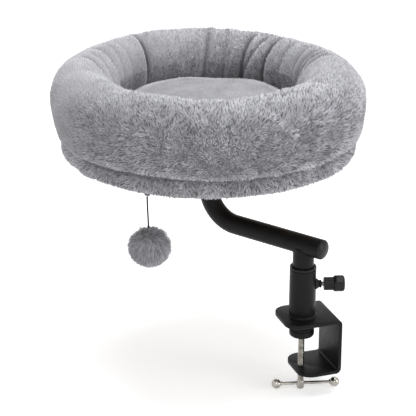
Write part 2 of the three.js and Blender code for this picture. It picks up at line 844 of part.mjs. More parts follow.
function bolster() {
  const middle = (bolsterDiameter + bolsterInnerDiameter) / 4;
  const half = (bolsterDiameter - bolsterInnerDiameter) / 4;
  const waist = bolsterHeight * bolsterMidShare;
  return reshaped(turned(bolsterSection(), bolsterSteps), (radius, height, angle) => {
    const inward = (middle - radius) / half;
    const rise = (height - waist) / (bolsterHeight - waist);
    const upward = Math.max(0, rise);
    const lean = Math.atan2(inward, rise) / quarterTurn;
    const fall = THREE.MathUtils.clamp((lean + creaseStartShare) / (1 + creaseStartShare), 0, 1);
    const reach = Math.max(0, Math.max(inward, upward * (1 + inward) / 2));
    const depth = bolsterCreaseDepth * creaseShare(angle, fall) * reach * Math.min(1, height / waist);
    const swell = bolsterSwell * (1 - Math.cos(bolsterSwells * angle)) / 2;
    return [
      radius + depth * Math.max(0, inward) - swell * Math.max(0, -inward),
      height - depth * upward / 2 - swell * upward,
    ];
  });
}

// Cushion: a crowned round pad, drawn in at its side, with a scalloped edge
function cushion() {
  const radius = bolsterInnerDiameter / 2 - seatGap;
  const belly = cushionHeight / 2;
  const edge = cushionHeight - cushionCrown - cushionDrawIn;
  const profile = [
    [0, 0],
    [radius - cushionDrawIn, 0],
    [radius, belly],
    [radius - cushionDrawIn / 2, edge],
    [radius - 2 * cushionDrawIn, cushionHeight - cushionCrown],
    ...cushionCrownShares.map((share) => [share * radius, cushionHeight - cushionCrown * share * share]),
    [0, cushionHeight],
  ];
  return reshaped(turned(profile, cushionSteps), (pointRadius, height, angle) => {
    const outward = Math.max(0, (pointRadius / radius - cushionEdgeShare) / (1 - cushionEdgeShare));
    if (height <= belly) return [pointRadius, height];
    const scallop = cushionScallop * (1 - Math.cos(cushionTufts * angle)) / 2;
    return [pointRadius - scallop * outward, height - scallop * outward];
  });
}

// Hanging toy: tab, cord and plush ball
function pompom() {
  const radius = pompomDiameter / 2;
  const ball = new THREE.SphereGeometry(radius, rodSides, rodSides / 2).rotateX(quarterTurn);
  return reshaped(ball, (reach, height, angle) => {
    const lump = pompomLump * (1 - Math.cos(pompomLumps * angle)) / 2;
    return [reach - lump * reach / radius, height * pompomHeight / pompomDiameter];
  });
}

// A cord whose ends are round, so that it can swing close to what it hangs from
function toyCord(stations) {
  const radius = toyCordDiameter / 2;
  const last = stations.length - 1;
  const section = new THREE.Shape().absarc(0, 0, radius, 0, 2 * Math.PI);
  const inner = stations.map((point) => point.clone());
  inner[0].z -= radius;
  inner[last].z += radius;
  const ends = [inner[0], inner[last]].map((point) => (
    new THREE.SphereGeometry(radius, toyCordSides, toyCordSides / 2)
      .rotateX(quarterTurn)
      .translate(point.x, point.y, point.z)
  ));
  return join(alongRoute(section, inner, toyCordSides), ...ends);
}

function addToy(parent) {
  const angle = toyTurnShare * 2 * Math.PI;
  const toy = new THREE.Group();
  const tabBottomZ = coverBottomZ - seatGap - toyTabHeight;
  toy.position.set(toyRadius * Math.cos(angle), toyRadius * Math.sin(angle), tabBottomZ);
  toy.rotation.z = angle;
  parent.add(toy);
  const tab = new THREE.BoxGeometry(toyTabThickness, toyTabWidth, toyTabHeight);
  addPiece(toy, 'toy_tab', tab.translate(0, 0, toyTabHeight / 2), tape);
  const stations = toyCordPoints.map(([x, y, z]) => new THREE.Vector3(x, y, z - seatGap));
  addPiece(toy, 'toy_cord', toyCord(stations), cordBlack);
  const end = stations[stations.length - 1];
  const ball = addPiece(toy, 'toy_pompom', pompom(), plush);
  ball.position.set(end.x, end.y, end.z - seatGap - pompomHeight / 2);
}

function addArm(parent) {
  const group = new THREE.Group();
  group.rotation.z = armYaw;
  parent.add(group);
  const plug = addPiece(group, 'stub_plug', stubPlug(), blackPlastic);
  plug.position.z = upperPlateTopZ + seatGap;
  addPiece(group, 'arm_stub', armStub(), blackSteel);
  const tube = alongRoute(ringShape(armRadius, armBore), armStations(), tubeSides);
  addPiece(group, 'arm_tube', tube, blackSteel);
  const cap = addPiece(group, 'arm_end_cap', armEndCap(), blackPlastic);
  cap.position.set(-armTail, 0, armHeight);
  cap.rotation.y = quarterTurn;
  addBed(group);
}

function addBed(parent) {
  const bed = new THREE.Group();
  bed.position.x = bedOffset;
  parent.add(bed);
  const flange = addPiece(bed, 'bed_flange', bedFlange(), blackSteel);
  flange.position.z = coverBottomZ;
  fastenerPlaces().forEach(([x, y], i) => {
    const screw = addPiece(bed, `flange_screw_${i + 1}`, flangeScrew(), zinc);
    screw.position.set(x, y, coverBottomZ - seatGap);
    const nut = addPiece(bed, `tee_nut_${i + 1}`, teeNut(), zinc);
    nut.position.set(x, y, boardTopZ);
  });
  const board = addPiece(bed, 'base_board', baseBoard(), plywood);
  board.position.z = boardBottomZ;
  const cover = addPiece(bed, 'base_cover', baseCover(), plush);
  cover.position.z = coverBottomZ;
  const ring = addPiece(bed, 'bolster', bolster(), plush);
  ring.position.z = coverTopZ + seatGap;
  const pad = addPiece(bed, 'cushion', cushion(), shortPlush);
  pad.position.z = coverTopZ + seatGap;
  addToy(bed);
}

addClamp(object);
addClampScrew(object);
addArm(object);

export default object;
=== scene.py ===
import math

import bpy
import numpy as np
from mathutils import Matrix, Vector
from mathutils.kdtree import KDTree


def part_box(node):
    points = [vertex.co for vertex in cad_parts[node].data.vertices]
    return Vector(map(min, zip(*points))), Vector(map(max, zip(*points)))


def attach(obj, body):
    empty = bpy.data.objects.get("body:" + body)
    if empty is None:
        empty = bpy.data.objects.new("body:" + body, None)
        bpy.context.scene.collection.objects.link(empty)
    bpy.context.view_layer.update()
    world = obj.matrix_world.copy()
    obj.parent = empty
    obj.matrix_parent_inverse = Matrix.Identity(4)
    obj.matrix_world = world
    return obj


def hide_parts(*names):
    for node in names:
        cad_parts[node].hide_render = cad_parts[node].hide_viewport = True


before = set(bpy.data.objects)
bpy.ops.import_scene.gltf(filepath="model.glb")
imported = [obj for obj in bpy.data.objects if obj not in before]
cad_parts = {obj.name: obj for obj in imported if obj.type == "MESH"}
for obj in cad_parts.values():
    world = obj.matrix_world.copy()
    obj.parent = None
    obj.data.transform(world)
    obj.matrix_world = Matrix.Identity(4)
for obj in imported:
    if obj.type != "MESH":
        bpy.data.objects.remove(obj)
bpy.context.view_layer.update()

# Cat desk bed, in the part's own frame: +Z up, the origin where the jaw pad meets the desk on the
# sleeve's axis, and +X to the bracket's back plate. The soft pieces are in metres, and the sizes
# of the round hard pieces in millimetres.
MM = 0.001
TURN = 2 * math.pi
SCENE = bpy.context.scene

# Camera, fitted to the photograph
CAMERA_PLACE = (-0.6918, -1.6589, 0.8578)
CAMERA_TILT = math.radians(68.49)
CAMERA_TURN = math.radians(-18.83)
CAMERA_LENS = 135.0
CAMERA_REACH = 20

# Places that the part's own sizes give
ARM_YAW = math.radians(123.1)
BED_OFFSET = 150.75 * MM
BED_CENTRE = np.array([BED_OFFSET * math.cos(ARM_YAW), BED_OFFSET * math.sin(ARM_YAW), 0.0])
LOCK_YAW = math.radians(-17)
BAR_YAW = math.radians(-14.2)
SEAT_GAP = 0.3 * MM

# Each slot's material, which build fills in
PAINTS = {}


def add_object(name, data):
    thing = bpy.data.objects.new(name, data)
    SCENE.collection.objects.link(thing)
    return thing


def set_camera():
    data = bpy.data.cameras.new("camera")
    data.lens = CAMERA_LENS
    data.clip_end = CAMERA_REACH
    camera = add_object("camera", data)
    camera.location = CAMERA_PLACE
    camera.rotation_euler = (CAMERA_TILT, 0, CAMERA_TURN)
    SCENE.camera = camera


# Meshes
CORNER_SHARE = 0.45
NEARLY_STRAIGHT = math.radians(80)
SMOOTH_ANGLE = math.radians(32)
BEVEL_ANGLE = math.radians(35)
WELD_GAP = 0.01 * MM


def smoothstep(low, high, value):
    share = np.clip((value - low) / (high - low), 0, 1)
    return share * share * (3 - 2 * share)


def unit(vectors):
    return vectors / np.maximum(np.linalg.norm(vectors, axis=-1, keepdims=True), 1e-9)


def round_angles(count):
    return np.arange(count) / count * TURN


def mesh_piece(name, points, face_sets, slot, body, replaced=None):
    """A mesh object from an array of points and arrays of faces, riding on a body."""
    mesh = bpy.data.meshes.new(name)
    mesh.vertices.add(len(points))
    mesh.vertices.foreach_set("co", np.asarray(points, np.float32).ravel())
    corners = np.concatenate([np.asarray(faces).ravel() for faces in face_sets])
    sizes = np.concatenate([np.full(len(faces), faces.shape[1]) for faces in face_sets])
    mesh.loops.add(len(corners))
    mesh.loops.foreach_set("vertex_index", corners.astype(np.int32))
    mesh.polygons.add(len(sizes))
    starts = np.concatenate([[0], np.cumsum(sizes)[:-1]])
    mesh.polygons.foreach_set("loop_start", starts.astype(np.int32))
    mesh.update(calc_edges=True)
    mesh.polygons.foreach_set("use_smooth", np.ones(len(sizes), bool))
    mesh.materials.append(PAINTS[slot])
    piece = add_object(name, mesh)
    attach(piece, body)
    if replaced:
        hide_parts(replaced)
    return piece


def grid_faces(rows, columns, wrap_rows=True, wrap_columns=True):
    """Quads of a grid of points whose rows go round an axis and whose columns follow a section."""
    i, j = np.meshgrid(np.arange(rows - (not wrap_rows)), np.arange(columns - (not wrap_columns)),
                       indexing="ij")
    here, beside = i * columns + j, i * columns + (j + 1) % columns
    next_row = (i + 1) % rows
    above, across = next_row * columns + j, next_row * columns + (j + 1) % columns
    return np.stack([here, beside, across, above], axis=-1).reshape(-1, 4)


def rounded(outline, radius, steps):
    """An outline of (radius, height) whose corners are rounded, as far as its sides allow."""
    points = [np.array(point, float) for point in outline]
    result = [points[0]]
    for before, corner, after in zip(points, points[1:], points[2:]):
        back, on = before - corner, after - corner
        reach_back, reach_on = np.linalg.norm(back), np.linalg.norm(on)
        back, on = back / reach_back, on / reach_on
        half = math.acos(max(-1.0, min(1.0, float(back @ on)))) / 2
        if half > NEARLY_STRAIGHT:
            result.append(corner)
            continue
        reach = min(radius / math.tan(half), CORNER_SHARE * reach_back, CORNER_SHARE * reach_on)
        first, last = corner + back * reach, corner + on * reach
        for share in np.arange(steps + 1) / steps:
            result.append((1 - share) ** 2 * first + 2 * share * (1 - share) * corner
                          + share ** 2 * last)
    return [*result, points[-1]]


def turned_piece(name, replaced, outline, placing, slot, body, sides=72, edge=0, steps=3,
                 closed=False, reach=None):
    """A body turned about local Z from its outline in mm, with edges rounded by so much.

    An open outline starts and ends on the axis. reach scales the radius by angle and height.
    """
    if closed:
        outline = [*outline, outline[0]]
    outline = np.array(rounded(outline, edge, steps) if edge else outline, float)
    section = outline[:-1] if closed else outline[1:-1]
    angle = round_angles(sides)[:, None]
    radius, height = section[:, 0] * np.ones_like(angle), section[:, 1] * np.ones_like(angle)
    if reach:
        radius = radius * reach(angle, height)
    points = np.stack([radius * np.cos(angle), radius * np.sin(angle), height], axis=-1)
    points, columns = points.reshape(-1, 3), len(section)
    faces = [grid_faces(sides, columns, True, closed)]
    if not closed:
        here, centre = np.arange(sides) * columns, np.full(sides, len(points))
        beyond = np.roll(here, -1)
        faces += [np.stack([centre, here, beyond], axis=-1),
                  np.stack([centre + 1, beyond + columns - 1, here + columns - 1], axis=-1)]
        points = np.concatenate([points, [[0, 0, outline[0, 1]], [0, 0, outline[-1, 1]]]])
    points = points * MM @ np.array(placing.to_3x3()).T + np.array(placing.translation)
    piece = closed_piece(name, points, faces, slot, body, replaced)
    piece.modifiers.new("even_shading", "WEIGHTED_NORMAL").keep_sharp = True
    return piece


def closed_piece(*piece_words):
    """A closed mesh whose faces look outward."""
    piece = mesh_piece(*piece_words)
    mesh = piece.data
    points = np.empty(len(mesh.vertices) * 3)
    mesh.vertices.foreach_get("co", points)
    mesh.calc_loop_triangles()
    triangles = np.empty(len(mesh.loop_triangles) * 3, int)
    mesh.loop_triangles.foreach_get("vertices", triangles)
    a, b, c = points.reshape(-1, 3)[triangles.reshape(-1, 3).T]
    if np.einsum("ij,ij->i", a, np.cross(b, c)).sum() < 0:
        mesh.flip_normals()
    return piece


def bevelled(piece, width, angle):
    """Small rounded edges, where faces meet at more than an angle."""
    edge = piece.modifiers.new("edges", "BEVEL")
    edge.width, edge.segments = width, 3
    edge.limit_method, edge.angle_limit = "ANGLE", angle


def dress_node(node, material, bevel=0.0):
    """Gives a CAD node its material, small rounded edges and smooth shading, by modifiers."""
    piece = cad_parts[node]
    piece.data.materials.clear()
    piece.data.materials.append(material)
    piece.modifiers.new("join", "WELD").merge_threshold = WELD_GAP
    if bevel:
        bevelled(piece, bevel, BEVEL_ANGLE)
    piece.modifiers.new("smooth", "NODES").node_group = smooth_by_angle()


def smooth_by_angle():
    """Geometry nodes that shade smooth across edges of less than SMOOTH_ANGLE."""
    name = "smooth_by_angle"
    if name in bpy.data.node_groups:
        return bpy.data.node_groups[name]
    group = bpy.data.node_groups.new(name, "GeometryNodeTree")
    for way in ("INPUT", "OUTPUT"):
        group.interface.new_socket("Geometry", in_out=way, socket_type="NodeSocketGeometry")
    start = node(group, "NodeGroupInput")
    faces = node(group, "GeometryNodeSetShadeSmooth", {"Geometry": start}, domain="FACE")
    angle = node(group, "GeometryNodeInputMeshEdgeAngle", output="Unsigned Angle")
    below = node(group, "FunctionNodeCompare", {0: angle, 1: SMOOTH_ANGLE}, operation="LESS_THAN")
    edges = node(group, "GeometryNodeSetShadeSmooth", {"Geometry": faces, "Shade Smooth": below},
                 domain="EDGE")
    node(group, "NodeGroupOutput", {0: edges}, output=None)
    return group


def node(tree, kind, sockets=None, output=0, **settings):
    """A new node's output. sockets gives its inputs, as values or as other nodes' outputs."""
    made = tree.nodes.new(kind)
    for name, value in settings.items():
        setattr(made, name, value)
    connect(tree, made, sockets or {})
    return None if output is None else made.outputs[output]


def connect(tree, made, sockets):
    for socket, value in sockets.items():
        if isinstance(value, bpy.types.NodeSocket):
            tree.links.new(value, made.inputs[socket])
        else:
            made.inputs[socket].default_value = value


# Materials
WHITE = (1.0, 1.0, 1.0)
BLACKS = (0.006, 0.006, 0.0065), (0.008, 0.008, 0.009)


class Paint:
    """A Principled material with a few nodes in front of it."""

    def __init__(self, name, colour, roughness, **sockets):
        self.material = bpy.data.materials.new(name)
        self.material.use_nodes = True
        self.tree = self.material.node_tree
        self.place = self.node("TexCoord", output="Object")
        self.set({"Base Color": (*colour, 1), "Roughness": roughness})
        self.set({name.replace("_", " "): value for name, value in sockets.items()})

    def node(self, kind, *sockets, **settings):
        return node(self.tree, "ShaderNode" + kind, *sockets, **settings)

    def set(self, sockets):
        connect(self.tree, self.tree.nodes["Principled BSDF"], sockets)

    def noise(self, scale, detail=2.0, stretch=(1, 1, 1), roughness=0.5):
        """Noise over the piece's own metres, scale in cycles a metre."""
        place = self.node("Mapping", {"Scale": stretch, "Vector": self.place})
        return self.node("TexNoise", {"Scale": scale, "Detail": detail, "Roughness": roughness,
                                      "Vector": place}, output="Fac")

    def ramp(self, factor, *stops):
        """A colour ramp; each stop is (place, colour)."""
        made = self.tree.nodes.new("ShaderNodeValToRGB")
        elements = made.color_ramp.elements
        while len(elements) < len(stops):
            elements.new(0.5)
        for element, (place, colour) in zip(elements, stops):
            element.position = place
            element.color = (*colour, 1)
        connect(self.tree, made, {"Fac": factor})
        return made.outputs["Color"]

    def spread(self, factor, low, high, from_low=0.3, from_high=0.7):
        """A factor mapped from one range to another."""
        return self.node("MapRange", {"Value": factor, "From Min": from_low, "From Max": from_high,
                                      "To Min": low, "To Max": high}, output="Result")

    def product(self, first, second):
        """Two colours multiplied."""
        return self.node("Mix", {0: 1.0, 6: first, 7: second}, output=2, data_type="RGBA",
                         blend_type="MULTIPLY")

    def finish(self, colour, roughness, height, depth, strength):
        """Links the colour, the roughness and a bump, its depth in mm, and gives the material."""
        bump = self.node("Bump", {"Height": height, "Distance": depth * MM, "Strength": strength})
        self.set({"Base Color": colour, "Roughness": roughness, "Normal": bump})
        return self.material


def coat(name, base, roughness, clouds, dark, light, wear, gloss, grain, depth, strength,
         light_stop=0.7, **sockets):
    """A hard surface in faint clouds from dark to light, unevenly glossy and finely grained.

    clouds, wear and grain each say a noise's scale, detail and stretch.
    """
    paint = Paint(name, base, roughness, **sockets)
    colour = paint.ramp(paint.noise(*clouds), (0.3, dark), (light_stop, light))
    return paint.finish(colour, paint.spread(paint.noise(*wear), *gloss), paint.noise(*grain),
                        depth, strength)


def plated(name, dark, light, gloss):
    """Plated steel with fine drawing marks."""
    return coat(name, light, gloss[0], (120, 4), dark, light, (300, 4, (1, 1, 0.1)), gloss,
                (900, 3, (1, 1, 0.15)), 0.02, 0.4, light_stop=0.65, Metallic=1.0)


def plywood():
    paint = Paint("plywood", (0.45, 0.31, 0.17), 0.7)
    grain = paint.noise(40, 6, (1, 12, 1), 0.65)
    colour = paint.ramp(grain, (0.3, (0.34, 0.22, 0.12)), (0.55, (0.50, 0.35, 0.20)),
                        (0.75, (0.58, 0.43, 0.27)))
    return paint.finish(colour, paint.spread(grain, 0.6, 0.8), grain, 0.15, 0.6)


def plush(name, root, middle, tip):
    """Pile whose colour follows each strand from its root to its tip."""
    paint = Paint(name, middle, 0.9, Sheen_Weight=0.25, Sheen_Roughness=0.5)
    pile, tone = (paint.node("Attribute", output="Fac", attribute_name=name)
                  for name in ("pile", "tone"))
    # The dark roots are painted shade deep in the pile, and the tone ramp adds painted shade
    # besides random tones
    along = paint.ramp(pile, (0.0, root), (0.32, middle), (1.0, tip))
    shade = paint.ramp(tone, (0.0, (0.22, 0.22, 0.23)), (1.0, WHITE))
    cloud = paint.ramp(paint.noise(28, 3), (0.32, (0.88, 0.88, 0.88)), (0.68, WHITE))
    colour = paint.product(paint.product(along, shade), cloud)
    return paint.finish(colour, paint.spread(paint.noise(500, 2), 0.85, 1.0),
                        paint.noise(900, 4), 0.8, 0.6)


def woven(name, dark, light, threads):
    """A tight weave of crossing threads, so many to a metre."""
    paint = Paint(name, light, 0.9, Specular_IOR_Level=0.1)
    waves = [paint.node("TexWave", {"Scale": threads, "Distortion": 0.6, "Vector": paint.place},
                        output="Fac", bands_direction=direction) for direction in "XZ"]
    height = paint.node("Math", dict(enumerate(waves)), operation="MULTIPLY")
    return paint.finish(paint.ramp(height, (0.0, dark), (0.8, light)),
                        paint.spread(height, 0.95, 0.75, 0, 1), height, 0.15, 0.8)


# Plush forms
NOISE_SEED = 11
# The skin beneath the strands is painted dark, as painted shade under the pile
SKIN_PILE, SKIN_TONE = 0.15, 0.7


def smooth_noise(turn, share, around, along, seed):
    """Smooth noise from -1 to 1 that repeats every turn, with so many cells each way."""
    values = np.random.default_rng(NOISE_SEED + seed).uniform(-1, 1, (around, along + 1))
    x, y = np.mod(turn, 1) * around, np.clip(share, 0, 0.9999) * along
    i, j = np.floor(x).astype(int), np.floor(y).astype(int)
    a, b = smoothstep(0, 1, x - i), smoothstep(0, 1, y - j)
    low = values[i % around, j] * (1 - a) + values[(i + 1) % around, j] * a
    high = values[i % around, j + 1] * (1 - a) + values[(i + 1) % around, j + 1] * a
    return low * (1 - b) + high * b


def noises(turn, share, *layers):
    """A sum of noises; each says its size, its cells around and along, and its seed."""
    return sum(size * smooth_noise(turn, share, *cells) for size, *cells in layers)


def arc(centre, radii, start, end, steps):
    """Points (radius, height) of an ellipse's arc, start and end in turns."""
    angle = np.linspace(start, end, steps + 1) * TURN
    return np.stack([centre[0] + radii[0] * np.cos(angle), centre[1] + radii[1] * np.sin(angle)],
                    axis=-1)


def resampled(outline, steps):
    """Points spaced evenly along an outline."""
    outline = np.asarray(outline, float)
    run = np.concatenate([[0], np.cumsum(np.linalg.norm(np.diff(outline, axis=0), axis=1))])
    wanted = np.linspace(0, run[-1], steps + 1)
    return np.stack([np.interp(wanted, run, outline[:, k]) for k in (0, 1)], axis=-1)


def slopes(grid, axis, wraps):
    """Differences along an axis of a grid, which may return to its start."""
    if wraps:
        return np.roll(grid, -1, axis=axis) - np.roll(grid, 1, axis=axis)
    return np.gradient(grid, axis=axis)


class Skin:
    """A surface round an upright axis, as a grid of points: turns by places along its section."""

    def __init__(self, outline, steps, rows, shift, closed=False, side=1, centre=BED_CENTRE):
        section = resampled(outline, steps)
        self.length = float(np.linalg.norm(np.diff(section, axis=0), axis=1).sum())
        self.closed = closed
        self.section = section = section[:-1] if closed else section
        self.share = np.arange(len(section)) / steps
        self.turn = np.arange(rows) / rows
        self.tone = SKIN_TONE
        along = unit(slopes(section, 0, closed))
        turn, share = self.turn[:, None], self.share[None, :]
        radius, height = section[None, :, 0], section[None, :, 1]
        push = shift(turn, share, radius, height)
        radius = radius - along[None, :, 1] * push
        height = height + along[None, :, 0] * push
        angle = TURN * turn + CAMERA_TURN
        self.points = np.stack([radius * np.cos(angle), radius * np.sin(angle),
                                height * np.ones_like(angle)], axis=-1) + centre
        self.along = unit(slopes(self.points, 1, closed))
        self.out = unit(np.cross(self.along, slopes(self.points, 0, True))) * side

    def at(self, turn, share):
        """Points and ways out at places on the surface."""
        rows, columns = self.points.shape[:2]
        x, y = np.mod(turn, 1) * rows, share * (columns if self.closed else columns - 1)
        i, j = np.floor(x).astype(int), np.floor(y).astype(int)
        a, b = (x - i)[:, None], (y - j)[:, None]
        i, k = i % rows, (i + 1) % rows
        if self.closed:
            j, m = j % columns, (j + 1) % columns
        else:
            j = np.clip(j, 0, columns - 2)
            m = j + 1

        def read(grid):
            return ((grid[i, j] * (1 - a) + grid[k, j] * a) * (1 - b)
                    + (grid[i, m] * (1 - a) + grid[k, m] * a) * b)

        return read(self.points), unit(read(self.out))

    def scatter(self, low, high, spacing, random):
        """Jittered places between two shares of the section, about one to a spacing squared."""
        lines = max(1, int((high - low) * self.length / spacing))
        turns, shares = [], []
        for line in range(lines):
            share = low + (high - low) * (line + 0.5) / lines
            column = min(int(share * len(self.share)), len(self.share) - 1)
            count = max(3, int(TURN * float(abs(self.section[column, 0])) / spacing))
            turns.append((np.arange(count) + random.uniform(0, 1, count)) / count)
            shares.append(share + random.uniform(-0.5, 0.5, count) * (high - low) / lines)
        turns, shares = np.concatenate(turns), np.concatenate(shares)
        inside = (shares > low) & (shares < high)
        return turns[inside], shares[inside]

    def mesh(self):
        """Points, faces, and each point's share of the pile and tone."""
        shape = self.points.shape[:2]
        return (self.points.reshape(-1, 3), grid_faces(*shape, True, self.closed),
                np.full(shape, SKIN_PILE).ravel(), (self.tone * np.ones(shape)).ravel())


STRAND_POINTS = 4
STRAND_SINK = 1.2 * MM
STRAND_FLATNESS = 0.6
STRAND_SPREAD, WIDTH_SPREAD = (0.8, 1.15), (0.8, 1.2)
LOWEST_LIFT, LIFT_JITTER = 0.1, 0.25
HUB_REACH = 1.05
TUFT_MIX = 2.0
FOLD_POWER = 6
# The strands' tones, and the painted shade at their tufts' edges
MEAN_TONE, TUFT_TONES, TUFT_EDGE_SHADE, EDGE_SPAN = 0.93, 0.10, 0.12, (0.35, 0.65)
# A share of strands painted dark, as painted shade in the gaps between tufts
GAP_SHARE, GAP_SHADE = 0.3, 0.9


def strands(roots, out, tips, width, random):
    """Closed three-sided strands: their points, faces, and each point's share of the pile."""
    count = len(roots)
    ways = unit(tips - roots)
    side = unit(np.cross(out, ways))
    over = unit(np.cross(ways, side))
    spin = random.uniform(0, TURN, count)
    corners = []
    for corner in range(3):
        angle = (spin + corner * TURN / 3)[:, None]
        reach = side * np.cos(angle) + over * np.sin(angle) * STRAND_FLATNESS
        corners.append(roots + reach * (width / 2)[:, None] - out * STRAND_SINK)
    points = np.stack([*corners, tips], axis=1).reshape(-1, 3)
    first = np.arange(count) * STRAND_POINTS
    faces = np.concatenate([np.stack([first + a, first + b, first + c], axis=-1)
                            for a, b, c in ((0, 2, 1), (0, 1, 3), (1, 2, 3), (2, 0, 3))])
    return points, faces, np.tile([0.0, 0.0, 0.0, 1.0], count)


def leaning(out, lean, swirl, lift):
    """Ways that follow a lean over the surface, turned by swirl and raised by lift."""
    level = unit(lean - out * (lean * out).sum(-1, keepdims=True))
    cross = unit(np.cross(out, level))
    level = level * np.cos(swirl)[:, None] + cross * np.sin(swirl)[:, None]
    return unit(level * np.cos(lift)[:, None] + out * np.sin(lift)[:, None])


def nearest(points, hubs):
    """For each point, which hub is closest."""
    tree = KDTree(len(hubs))
    for index, hub in enumerate(hubs):
        tree.insert(hub, index)
    tree.balance()
    return np.array([tree.find(point)[1] for point in points])


def tufted(skin, span, spacing, tuft, width, nap, random):
    """Strands over a span of a skin, drawn together into tufts.

    nap(turn, share, roots) gives length, lift, swirl, lean, draw, jitter, contrast and shade.
    """
    def grown(turn, share, out, roots, mixed=1.0):
        way = nap(turn, share, roots)
        swirl = way["swirl"] + random.normal(0, mixed, len(roots)) * way["jitter"]
        lift = way["lift"] + random.normal(0, LIFT_JITTER, len(roots)) * way["jitter"]
        length = way["length"] * random.uniform(*STRAND_SPREAD, len(roots))
        ways = leaning(out, way["lean"], swirl, np.maximum(lift, LOWEST_LIFT))
        return roots + ways * length[:, None], way

    turn, share = skin.scatter(*span, spacing, random)
    roots, out = skin.at(turn, share)
    hub_turn, hub_share = skin.scatter(*span, tuft, random)
    hubs, hub_out = skin.at(hub_turn, hub_share)
    own = nearest(roots, hubs)
    tips, way = grown(turn, share, out, roots)
    hub_tips, _ = grown(hub_turn, hub_share, hub_out, hubs, TUFT_MIX)
    # Strands aren't drawn across a fold
    draw = (way["draw"] * np.clip((out * hub_out[own]).sum(-1), 0, 1) ** FOLD_POWER)[:, None]
    ends = tips * (1 - draw) + (hubs + (hub_tips - hubs) * HUB_REACH)[own] * draw
    wide = width * random.uniform(*WIDTH_SPREAD, len(roots))
    edge = np.linalg.norm(roots - hubs[own], axis=-1) / tuft
    # Gap strands and tufts' edges are painted darker: painted shade between the tufts, besides
    # random tuft tones
    gap = random.uniform(0, 1, len(roots)) < GAP_SHARE
    uneven_and_shade = (TUFT_TONES * random.uniform(-1, 1, len(hubs))[own] - GAP_SHADE * gap
              - TUFT_EDGE_SHADE * smoothstep(*EDGE_SPAN, edge))
    tone = np.clip(MEAN_TONE + way["contrast"] * uneven_and_shade - way["shade"], 0, 1)
    return *strands(roots, out, ends, wide, random), np.repeat(tone, STRAND_POINTS)


def split_tufts(tufts, parts):
    """The same strands in so many groups, in the order in which they grow."""
    points, faces, pile, tone = tufts
    count = len(points) // STRAND_POINTS
    cuts = [count * part // parts for part in range(parts + 1)]
    groups = []
    for low, high in zip(cuts, cuts[1:]):
        own = faces.reshape(-1, count, 3)[:, low:high].reshape(-1, 3) - low * STRAND_POINTS
        here = slice(low * STRAND_POINTS, high * STRAND_POINTS)
        groups.append((points[here], own, pile[here], tone[here]))
    return groups


def plush_piece(name, replaced, skin, tufts, slot="plush", body="arm"):
    """One mesh of a skin and strands, with its pile and tone kept as attributes."""
    points, faces, pile, tone = zip(*([skin.mesh()] if skin else []), tufts)
    firsts = np.cumsum([0, *map(len, points)])
    face_sets = [own + first for own, first in zip(faces, firsts)]
    piece = mesh_piece(name, np.concatenate(points), face_sets, slot, body, replaced)
    for label, values in (("pile", pile), ("tone", tone)):
        attribute = piece.data.attributes.new(label, "FLOAT", "POINT")
        attribute.data.foreach_set("value", np.concatenate(values).astype(np.float32))
    smooth = np.arange(len(piece.data.polygons)) < (len(faces[0]) if skin else 0)
    piece.data.polygons.foreach_set("use_smooth", smooth)
    return piece


def plush_on(name, replaced, skin, span, pile, nap, seed, slot="plush", parts=1):
    """A skin's padded piece with its strands, which may go on in pieces of their own."""
    tufts = tufted(skin, span, *pile, nap, np.random.default_rng(NOISE_SEED + seed))
    first, *others = split_tufts(tufts, parts)
    plush_piece(name, replaced, skin, first, slot)
    for part, group in enumerate(others):
        plush_piece(f"{replaced}_pile_{part + 1}", replaced, None, group)


def mixed_nap(deep, calm_one, still):
    """A nap's traits between its deep and its calm state."""
    return {trait: deep[trait] + (calm_one[trait] - deep[trait]) * still for trait in deep}


# Bolster: a ring whose cover is gathered towards its middle. Angles go round as the camera sees
# the bed, with 0 at its right and 90 at its back.
BOLSTER_RADIUS = 200.5 * MM
BOLSTER_INNER_RADIUS = 112 * MM
BOLSTER_BASE = 223.8 * MM
BOLSTER_HEIGHT = 88 * MM
BOLSTER_WAIST_SHARE = 0.49
BOLSTER_FOOT_SHARES = (0.72, 0.76)
BOLSTER_STEPS, BOLSTER_ROWS = 64, 480
BOLSTER_PARTS = 3
PILE_DEPTH = 3.6 * MM
BOLSTER_STRAND = 5.4 * MM
# The strands' spacing, their tufts' and their width
BOLSTER_PILE = 1.55 * MM, 3.8 * MM, 1.7 * MM
BOLSTER_SEED, COVER_SEED, CUSHION_SEED, POMPOM_SEED = 3, 30, 40, 50
# How smooth the pile lies, from 0 to 1, by the angle round the bed
CALM_ANGLES = (0, 20, 40, 55, 75, 110, 135, 160, 205, 225, 250, 318, 336, 360)
CALM_SHARES = (0.7, 0.6, 0.45, 0.1, 0.0, 0.4, 0.7, 0.95, 0.95, 0.5, 0.1, 0.0, 0.4, 0.7)
CALM_RISE = 1.8 * MM
CALM_SHORTER = 1.0 * MM
# Each gather: its angle on the crest, its angle at the foot of the inner wall, its depth in mm,
# and the side that laps over it, 1 for the greater angles
GATHERS = (
    (129, 135, 13, 1),
    (142, 150, 0.9, 1),
    (148, 163, 1.2, 1),
    (157, 177, 13, 1),
    (164, 193, 1.4, 1),
    (172, 215, 7, 1),
    (188, 232, 1.4, 1),
    (212, 212, 3, 1),
    (90, 93.5, 3, 1),
    (79, 80, 1.5, -1),
    (66, 68, 5, -1),
    (57.5, 66, 4, -1),
    (51, 52, 9, -1),
    (41, 36, 2.5, -1),
    (30.5, 17, 12, -1),
    (24, 12, 3, -1),
    (19, 7, 9, -1),
    (13.5, 0, 6, -1),
    (265, 266, 2, 1),
    (300, 299, 2, -1),
    (329, 326, 2, -1),
)
GATHER_TOP, GATHER_RUN, GATHER_REACH, GATHER_POWER = 0.42, 0.26, 1.3, 1.5
SLOPE_WIDTH, SLOPE_POWER = 10 * MM, 1.4
GROOVE_WIDTH, GROOVE_SHARE = 2.6 * MM, 0.6
